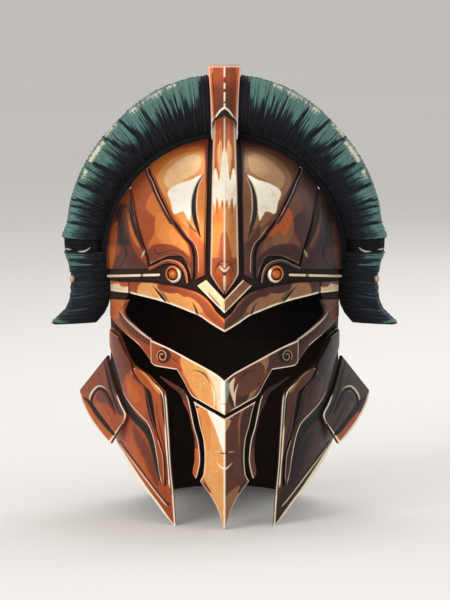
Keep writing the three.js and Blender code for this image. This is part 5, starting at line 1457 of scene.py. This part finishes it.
def hair_core(name, table, steps, shrink, tone):
    """The dark heart of the crest, under the strands: near black, painted shade between them."""
    q = np.linspace(0.004, 0.996, steps)
    r = along(table, q)
    outs = np.concatenate([np.linspace(0, 1, 13), np.linspace(1, 0, 13)])
    sign = np.concatenate([-np.ones(13), np.ones(13)])
    rings = []
    for row in r:
        f = -0.03 + outs * (shrink + 0.03)
        y = sign * np.interp(outs, SWELL[:, 0], SWELL[:, 1]) * CREST_HALF * (shrink - 0.04)
        rings.append(np.stack([row[0] + (row[2] - row[0]) * f, y, row[1] + (row[3] - row[1]) * f], -1))
    return np.array(rings), 0.02 + (tone - 0.02) * ease((outs - 0.8) / 0.15)


def strands(name, table, count, tone_fn, tip=0.0, length_fn=None, width=1.25, core=0.5):
    """Tapered locks from the root to the rim over a dark core of painted shade, both halves."""
    rings, core_tone = hair_core(name, table, 120, 0.93, core)
    n, m = rings.shape[:2]
    ids = np.arange(n * m).reshape(n, m)
    nx = np.roll(ids, -1, 1)
    verts = [rings.reshape(-1, 3), rings[0].mean(0)[None], rings[-1].mean(0)[None]]
    a, b = n * m, n * m + 1
    faces = [np.stack([ids[:-1], nx[:-1], nx[1:], ids[1:]], -1).reshape(-1, 4),
             np.stack([nx[0], ids[0], np.full(m, a), np.full(m, a)], -1),
             np.stack([ids[-1], nx[-1], np.full(m, b), np.full(m, b)], -1)]
    # the core's own winding is settled first, so that strands can follow it
    tone = [np.concatenate([np.tile(core_tone, n), [0.02, 0.02]])]
    light = [np.zeros(n * m + 2)]
    base = n * m + 2
    fr = np.array([0, 0.22, 0.38, 0.5, 0.62, 0.74, 0.86, 0.94, 1.0])
    SEG = len(fr) - 1
    for i in range(count):
        q = (i + rng.uniform(0.0, 1.0)) / count
        kind = rng.uniform()
        if kind < 0.64:                          # on the front or the back face
            face_side = -1 if rng.uniform() < 0.62 else 1
            depth = face_side * rng.uniform(0.86, 1.0)
        else:                                    # through the thickness, seen at the rim
            depth = rng.uniform(-0.9, 0.9)
        row = along(table, np.array([np.clip(q, 0.004, 0.996)]))[0]
        lean = rng.normal(0, 0.003)
        row2 = along(table, np.array([np.clip(q + lean, 0.002, 0.998)]))[0]
        root = np.array([row[0], 0, row[1]])
        rim = np.array([row2[2], 0, row2[3]])
        L = np.linalg.norm(rim - root)
        ang = math.degrees(math.atan2(rim[2] - WIDEST, rim[0]))
        start = rng.uniform(-0.035, -0.005) if abs(depth) > 0.8 else rng.uniform(0.5, 0.7)
        stop = 1.0 + rng.normal(0, 0.008) - (0.03 * rng.uniform() ** 2)
        if length_fn is not None:
            stop *= length_fn(q)
        wd = width * rng.uniform(0.75, 1.25) * (1.0 if abs(depth) > 0.85 else 1.35)
        f = start + (stop - start) * fr
        swell = np.interp(np.clip(f, 0, 1), SWELL[:, 0], SWELL[:, 1])
        p = root + (rim - root) * f[:, None]
        p[:, 1] = depth * CREST_HALF * swell + rng.normal(0, 0.15)
        side = np.cross((rim - root) / L, [0, 1, 0])
        bend = rng.normal(0, 0.5) * np.sin(fr * math.pi) * 0.8
        p += side * bend[:, None]
        w = wd * (0.55 + 0.6 * fr) * np.where(fr > 0.97, 0.35, 1.0)
        w = np.maximum(w, 0.12)
        out = np.array([0, 1.0 if depth >= 0 else -1.0, 0])
        tri = []
        for k in range(SEG + 1):
            c = p[k]
            tri += [c + side * w[k] * 0.5, c - side * w[k] * 0.5, c + out * w[k] * 0.42]
        tri = np.array(tri)
        ii = base + np.arange(3 * (SEG + 1)).reshape(SEG + 1, 3)
        jj = np.roll(ii, -1, 1)
        q4 = np.stack([ii[:-1], jj[:-1], jj[1:], ii[1:]], -1).reshape(-1, 4)
        if depth < 0:
            q4 = q4[:, ::-1]
        caps = np.array([[ii[0, 2], ii[0, 1], ii[0, 0], ii[0, 0]], [ii[-1, 0], ii[-1, 1], ii[-1, 2], ii[-1, 2]]])
        if depth < 0:
            caps = caps[:, ::-1]
        faces += [q4, caps]
        verts.append(tri)
        tn, lt = tone_fn(q, ang, f, depth, p)
        tone.append(np.repeat(tn, 3))
        light.append(np.repeat(lt, 3))
        base += len(tri)
    verts, faces = np.vstack(verts), np.vstack(faces)
    tone, light = np.concatenate(tone), np.concatenate(light)
    for left in (False, True):
        label = f"{name}_{'left' if left else 'right'}"
        make(label + "_hair", verts, faces, M_HAIR, [label], {"tone": tone, "edge": light}, sharp=0, flip=left)


SPIKES = [(rng.uniform(9, 82), rng.uniform(0.06, 0.34), rng.uniform(0.35, 1.1)) for _ in range(46)]
SPIKES += [(79.2, 0.22, 1.0), (75.8, 0.34, 0.8), (73.4, 0.3, 0.7), (71.2, 0.36, 0.9), (68.8, 0.28, 0.8), (66.6, 0.3, 0.9)]


def spike(ang):
    """How far the dark roots, painted shade, reach out along the crest, in jagged spikes."""
    v = 0.33 + 0.04 * math.sin(ang * 0.9) + (0.002 * (44 - ang) if ang < 44 else 0)
    tall = max(h * (1 - abs(ang - a) / w) for a, h, w in SPIKES)
    return v + max(0.0, tall)


# painted shade along partings from the rim inwards, and short painted highlights by the rim
PARTINGS = [
    [(137.5, 103.5, 1.0), (146, 114, 2.4), (157, 128, 3.0), (168, 142, 3.6)],
    [(119, 118.5, 1.2), (129, 128, 2.6), (139, 136.5, 3.2), (150, 145, 3.6)],
    [(104.5, 136.5, 1.2), (114, 143, 2.6), (125, 149, 3.2), (136, 156, 3.8)],
    [(89.5, 160.5, 1.2), (99, 165.5, 2.6), (109, 170.5, 3.2), (122, 178, 3.8)],
    [(79, 183.5, 1.2), (89, 187.5, 2.6), (101, 193, 3.0), (112, 198, 3.4)],
    [(73, 199, 1.0), (83, 201.5, 2.2), (97, 206, 2.6), (108, 209, 3.0)],
    [(71.4, 205.5, 0.9), (82, 208, 1.9), (93, 211.5, 2.2), (104, 215, 2.6)],
    [(68.4, 222, 0.9), (78, 223.4, 1.9), (90, 226, 2.4), (102, 229, 3.0)],
    [(160, 92, 0.6), (166, 106, 1.2), (171, 116, 1.8), (176, 128, 2.4)],
    [(199.6, 78, 1.0), (201.4, 92, 2.0), (201.6, 110, 2.8), (199, 132, 3.4)],
    [(186, 100, 0.5), (188, 112, 1.6), (190, 126, 2.6)], [(175, 96, 0.4), (180, 112, 1.5), (184, 128, 2.6)]]
TOUCHES = [[(142, 103, 1.6), (152, 96, 1.9), (163, 90, 1.9), (177, 83.6, 1.2)], [(131, 111.6, 1.9), (139, 105.4, 1.9)],
           [(106.6, 136, 1.6), (111, 130, 2.0), (117, 124.4, 1.4)], [(91.4, 161, 1.8), (97, 151.6, 2.4), (105, 142.6, 1.8)],
           [(84, 178, 2.2), (87.2, 170, 1.6)]]


def stroke(points, p):
    """Distance outside a tapered stroke for points on the front pattern."""
    x, y = pattern(p)
    x = np.where(x > 225.5, 451 - x, x)
    best = np.full(x.shape, 1e9)
    for a, b in zip(points[:-1], points[1:]):
        dx, dy = b[0] - a[0], b[1] - a[1]
        t = np.clip(((x - a[0]) * dx + (y - a[1]) * dy) / (dx * dx + dy * dy), 0, 1)
        best = np.minimum(best, np.hypot(x - a[0] - t * dx, y - a[1] - t * dy) - 0.62 * (a[2] + (b[2] - a[2]) * t))
    return best


def crest_tone(q, ang, f, depth, p):
    # painted shade: the roots are near black, then a half-lit band, then the light ends
    cut = spike(ang) + rng.normal(0, 0.035)
    base = 0.79 + rng.normal(0, 0.03)
    if rng.uniform() < 0.06:
        base = 0.6
    shade = 0.42 + 0.03 * math.sin(ang * 1.7)    # half-lit band between the roots and the light ends
    reach = cut + 0.1 + 0.1 * math.sin(ang * 2.6) ** 2 + (0.004 * (48 - ang) if ang < 48 else 0)
    t = 0.03 + (shade - 0.03) * ease((f - cut) / 0.05) + (base - shade) * ease((f - reach) / 0.05)
    if ang > 82.4:                               # painted shade beside the holder
        t = t * 0.06
    for line in PARTINGS:
        t = t * (1 - 0.98 * ease(0.8 - stroke(line, p) / 0.8))
    lt = np.zeros(len(f))
    if depth < -0.8:
        for line in TOUCHES:
            lt = np.maximum(lt, 0.95 * ease(0.7 - stroke(line, p) / 0.8))
    return t, lt


def tail_tone(q, ang, f, depth, p):
    # painted shade: near-black roots, as on the crest; the tail stays dark through its middle and turns teal towards
    # its top and bottom
    top = ease((0.24 - q) / 0.1)
    bottom = ease((q - 0.88) / 0.08)
    cut = 0.5 + 0.12 * math.sin(q * 61) + rng.normal(0, 0.1)
    teal = 0.7 + rng.normal(0, 0.05)
    mid = 0.14 if rng.uniform() < 0.7 else 0.42
    level = mid + (teal - mid) * max(top, 0.85 * bottom)
    t = 0.03 + (level - 0.03) * ease((f - cut) / 0.16)
    if rng.uniform() < 0.14:
        t = t * 0.2
    return t, np.zeros(len(f))


K = 1.0
strands("crest", CREST, int(2050 * K), crest_tone, width=2.0)
INNER = np.array([[2.3, 0, 0, 0], [2.2, 0, 0, 0], [1.9, 0, 0, 0], [2.0, 0, 0, 0], [2.0, 0, 0, 0], [1.2, 0, 0, 0], [0, 0, 0, 0]])
strands("crest_tail", TAIL - INNER, int(600 * K), tail_tone, width=2.1, core=0.2)


def crest_band():
    rows = along(BAND - np.array([1.6, 0, 0, 0]), np.linspace(0, 1, 44))
    outs = np.concatenate([np.linspace(0, 1, 36), np.linspace(1, 0, 36)])
    sign = np.concatenate([-np.ones(36), np.ones(36)])
    rings, edge = [], []
    for i, row in enumerate(rows):
        end = min(i, len(rows) - 1 - i)
        puff = 1.0 - 0.05 * (1 - min(1, end / 3)) + 0.012 * math.cos(i / 43 * math.pi * 6)
        y = sign * np.interp(outs, SWELL[:, 0], SWELL[:, 1]) * CREST_HALF * puff
        ring = np.stack([row[0] + (row[2] - row[0]) * outs, y, row[1] + (row[3] - row[1]) * outs], -1)
        rings.append(ring)
    rings = np.array(rings)
    e = []
    for side in (1, -1):
        f = Fields(rings * np.array([side, 1, 1]), (0 * rings[..., 0], 0 * rings[..., 0]), (0 * rings[..., 0], 0 * rings[..., 0]), 0)
        front = (rings[..., 1] < 0)
        # painted highlights on the band's front edge
        v = ease(0.5 - f.near([(79.5, 251.4, 0.4), (84, 251.6, 1.5), (88, 250, 1.3), (91, 247.6, 0.3)]) / 0.8)
        v = np.maximum(v, 0.7 * ease(0.5 - f.near([(66.5, 248.5, 1.0), (69, 249.2, 1.6), (72, 249.6, 0.4)]) / 0.8))
        e.append(v * front)
    lofted("crest_band", rings, M_LEATHER, None, {"edge": (e[0], e[1])}, sharp=50)


crest_band()


def seat_frame(across_deg, over_deg):
    o = bowl(np.array(across_deg), np.array(over_deg), np.array(0.0))
    n = np.array([o[0] / BOWL_A**2, o[1] / BOWL_B**2, (o[2] - WIDEST) / BOWL_H**2])
    n /= np.linalg.norm(n)
    e1 = np.cross([0, 0, 1], n)
    e1 /= np.linalg.norm(e1)
    e2 = np.cross(n, e1)
    return lambda r, a, h: o + e1 * r * math.cos(a) + e2 * r * math.sin(a) + n * h


def boss():
    put = seat_frame(25.0, -2.8)
    ring = [(8.1, 1)] + [(8.1 - 0.9 * (1 - math.cos(t)), 2.3 + 1.0 * math.sin(t)) for t in np.linspace(0, 1.4, 6)]
    ring += [(7.2 - 1.5 * k, 3.5 + 0.5 * math.sin(k * math.pi)) for k in np.linspace(0.15, 0.85, 5)]
    ring += [(5.7 + 0.5 * (1 - math.cos(t)) * 0, 3.0 - 0.5 * k) for k, t in ((0.2, 0), (1, 0), (2.5, 0))] + [(5.7, 1)]
    steps = 72
    rings = [[put(r, 2 * math.pi * k / steps, h) for k in range(steps)] for r, h in ring]
    a = np.linspace(0, 2 * math.pi, steps, endpoint=False)[None, :] + np.zeros((len(ring), 1))
    # painted highlight: a bright crescent on one side of the ring; painted shade near black in the gap inside it
    highlight_side = 0.72 + 0.28 * np.cos(a - math.radians(215))
    rad_ = np.array([r for r, h in ring])[:, None]
    line = 0.9 * ease((6.0 - rad_) / 0.3) + 0 * a
    lofted("boss_ring", rings, M_BRIGHT, None,
           {"tone": 0.62 + 0 * a, "edge": 0.95 * ease((highlight_side - 0.7) / 0.2) * ease((rad_ - 5.6) / 0.4), "line": line, "shade_mix": 0.2 + 0 * a}, closed=True, sharp=50)
    dome = [(5.1, 1), (5.1, 1.8), (5.02, 2.3), (4.8, 2.8), (4.4, 3.4), (3.9, 4.0), (3.2, 4.6), (2.4, 5.1), (1.6, 5.45), (0.8, 5.7), (0.2, 5.78)]
    rings = [[put(r, 2 * math.pi * k / steps, h) for k in range(steps)] for r, h in dome]
    # painted shade: near black round the stud's foot
    rr = np.array([r for r, h in dome])[:, None] + 0 * np.arange(steps)[None]
    lofted("boss_stud", rings, M_BRONZE, None,
           {"tone": 0.42 + 0.04 * (5.1 - rr), "line": 0.85 * ease((rr - 4.6) / 0.4), "shade_mix": 0.12 + 0 * rr}, sharp=60)


boss()


def brow_bead():
    turn = np.linspace(32.2, 81, 150)
    z = pchip([32.2, 42, 53, 64, 73, 81], [233.6, 231.8, 229.6, 227.2, 225.2, 223.4], turn)
    rings = []
    n = 20
    for i, (u, h) in enumerate(zip(turn, z)):
        end = min(i, len(turn) - 1 - i)
        r = 1.3 * (0.55 if end == 0 else 0.85 if end == 1 else 1.0)
        nick = 0.45 * math.exp(-((u - 43.0) / 0.7) ** 2)
        ring = []
        for k in range(n):
            q = 2 * math.pi * k / n
            off = 2.3 + (r - nick) * math.cos(q)
            ring.append(face(np.array(u), np.array(h + (r - nick) * math.sin(q)), np.array(off)))
        rings.append(ring)
    # painted highlight on the bead's outer half; painted shade on the half toward the bowl and at the nick
    a = np.cos(2 * math.pi * np.arange(n) / n)[None, :] + 0 * turn[:, None]
    nick = np.exp(-((turn - 43.0) / 0.8) ** 2)[:, None] + 0 * a
    lofted("brow_bead", rings, M_BRIGHT, None,
           {"tone": 0.8 + 0 * a, "edge": 0.8 * ease((a + 0.35) / 0.6) * (1 - nick), "line": np.maximum(0.9 * nick, 0.75 * ease(-a / 0.7))})


brow_bead()


def scroll():
    at, z0, off = 29.6, 159.4, 8.4
    o = face(np.array(at), np.array(z0), np.array(off))
    du = face(np.array(at + 0.5), np.array(z0), np.array(off)) - o
    du /= np.linalg.norm(du)
    up = np.array([0, 0, 1.0])
    n = np.cross(du, up)
    n /= np.linalg.norm(n)
    steps, rings = 170, []
    for k in range(steps + 1):
        f = k / steps
        a = math.radians(-40 + 360 * 1.5 * f)
        r = 6.4 + (1.6 - 6.4) * f
        thin = min(1.0, 0.45 + 3 * min(f, 1 - f) * 3)
        ring = []
        for q in range(12):
            t = math.pi * q / 11
            ring.append(o + (du * math.cos(a) + up * math.sin(a)) * (r + 0.95 * thin * math.cos(t)) + n * (1.15 * thin * math.sin(t) - 0.25))
        rings.append(ring)
    # painted shade at the rib's foot; bright along its crest as worn metal and painted highlight both
    t = np.sin(np.pi * np.arange(12) / 11)[None] + np.zeros((steps + 1, 1))
    lofted("scroll", rings, M_BRONZE, None,
           {"tone": 0.5 + 0 * t, "line": 0.9 * ease((0.4 - t) / 0.4), "edge": 0.3 * ease((t - 0.8) / 0.2)}, sharp=60)


scroll()


def crest_stud():
    """Small pale stud on each crest tail."""
    for left in (False, True):
        x = (225.5 - 73) * UNIT * 0.994
        y0 = -CREST_HALF * 0.93
        z0 = 198.5 + (300 - 278.5) * UNIT / math.cos(TILT) + 1.2
        verts, faces = [], []
        steps, lay = 24, 7
        for i in range(lay):
            t = i / (lay - 1) * math.pi / 2
            for k in range(steps):
                a = 2 * math.pi * k / steps
                verts.append([x + 2.5 * math.cos(t) * math.cos(a), y0 - 0.4 - 1.8 * math.sin(t), z0 + 3.5 * math.cos(t) * math.sin(a)])
        for i in range(lay - 1):
            for k in range(steps):
                j = (k + 1) % steps
                faces.append([i * steps + k, i * steps + j, (i + 1) * steps + j, (i + 1) * steps + k])
        c = len(verts)
        verts.append([x, y0 + 1.2, z0])
        for k in range(steps):
            faces.append([(k + 1) % steps, k, c, c])
        nv = len(verts)
        make("crest_stud_" + ("left" if left else "right"), verts, np.array(faces), M_BRONZE, (),
             {"tone": np.full(nv, 0.62), "line": np.zeros(nv), "edge": np.full(nv, 0.35), "shade_mix": np.full(nv, 0.9)}, flip=left)


crest_stud()

# ------------------------------------------------------------- floor, lights, camera
def floor():
    rings, steps = [0.0, 0.5, 1, 2, 4, 8, 20, 60], 64
    verts, faces = [(0, 0, 0)], []
    for r in rings[1:]:
        verts += [(r * math.cos(2 * math.pi * k / steps), r * math.sin(2 * math.pi * k / steps), 0) for k in range(steps)]
    for k in range(steps):
        faces.append((0, 1 + k, 1 + (k + 1) % steps))
    for i in range(len(rings) - 2):
        for k in range(steps):
            j = (k + 1) % steps
            faces.append((1 + i * steps + k, 1 + (i + 1) * steps + k, 1 + (i + 1) * steps + j, 1 + i * steps + j))
    me = bpy.data.meshes.new("floor")
    me.from_pydata(verts, [], faces)
    ob = bpy.data.objects.new("floor", me)
    bpy.context.scene.collection.objects.link(ob)
    n = Nodes("floor_paper")
    v = n.noise(1.2, 2, 0.5)
    n.set(Base_Color=n.ramp(v, [(0.3, "E6E4E1"), (0.7, "E8E6E3")]), Roughness=0.95, Specular_IOR_Level=0.05)
    me.materials.append(n.mat)


floor()


def area(name, at, to, size, power, colour=(1, 1, 1), size_y=None):
    d = bpy.data.lights.new(name, "AREA")
    d.shape = "RECTANGLE"
    d.size, d.size_y = size, size_y or size
    d.energy = power
    d.color = colour
    ob = bpy.data.objects.new(name, d)
    ob.location = at
    ob.rotation_mode = "QUATERNION"
    ob.rotation_quaternion = (Vector(to) - Vector(at)).to_track_quat("-Z", "Y")
    bpy.context.scene.collection.objects.link(ob)
    return ob


area("key", (-1.6, -2.2, 1.5), (0, 0, 0.22), 1.5, 37, (1.0, 0.98, 0.95))
area("front", (-0.3, -2.8, 0.6), (0, 0, 0.18), 1.4, 10, (1.0, 0.98, 0.96), 0.9)
area("fill", (2.0, -1.2, 0.7), (0, 0, 0.22), 1.2, 2.5, (0.94, 0.97, 1.0))
area("top", (0.1, 0.9, 1.9), (0, 0, 0.3), 1.2, 12)
area("rear", (1.5, 2.1, 1.2), (0, 0, 0.22), 1.2, 14)

world = bpy.data.worlds.new("studio")
bpy.context.scene.world = world
world.use_nodes = True
world.node_tree.nodes["Background"].inputs[0].default_value = (0.82, 0.81, 0.8, 1)
world.node_tree.nodes["Background"].inputs[1].default_value = 0.8

view = bpy.context.scene.view_settings
view.view_transform = "Standard"
view.look = "None"

cam = bpy.data.cameras.new("camera")
cam.sensor_width = 36
cam.lens = REACH / UNIT * 36 / 600
cam.clip_start, cam.clip_end = 0.1, 200
cam.shift_x = 0.5 / 600
cam_ob = bpy.data.objects.new("camera", cam)
bpy.context.scene.collection.objects.link(cam_ob)
cam_ob.location = Vector((AIM - REACH * LOOK).tolist()) * MM
cam_ob.rotation_mode = "QUATERNION"
cam_ob.rotation_quaternion = Vector(LOOK.tolist()).to_track_quat("-Z", "Y")
bpy.context.scene.camera = cam_ob
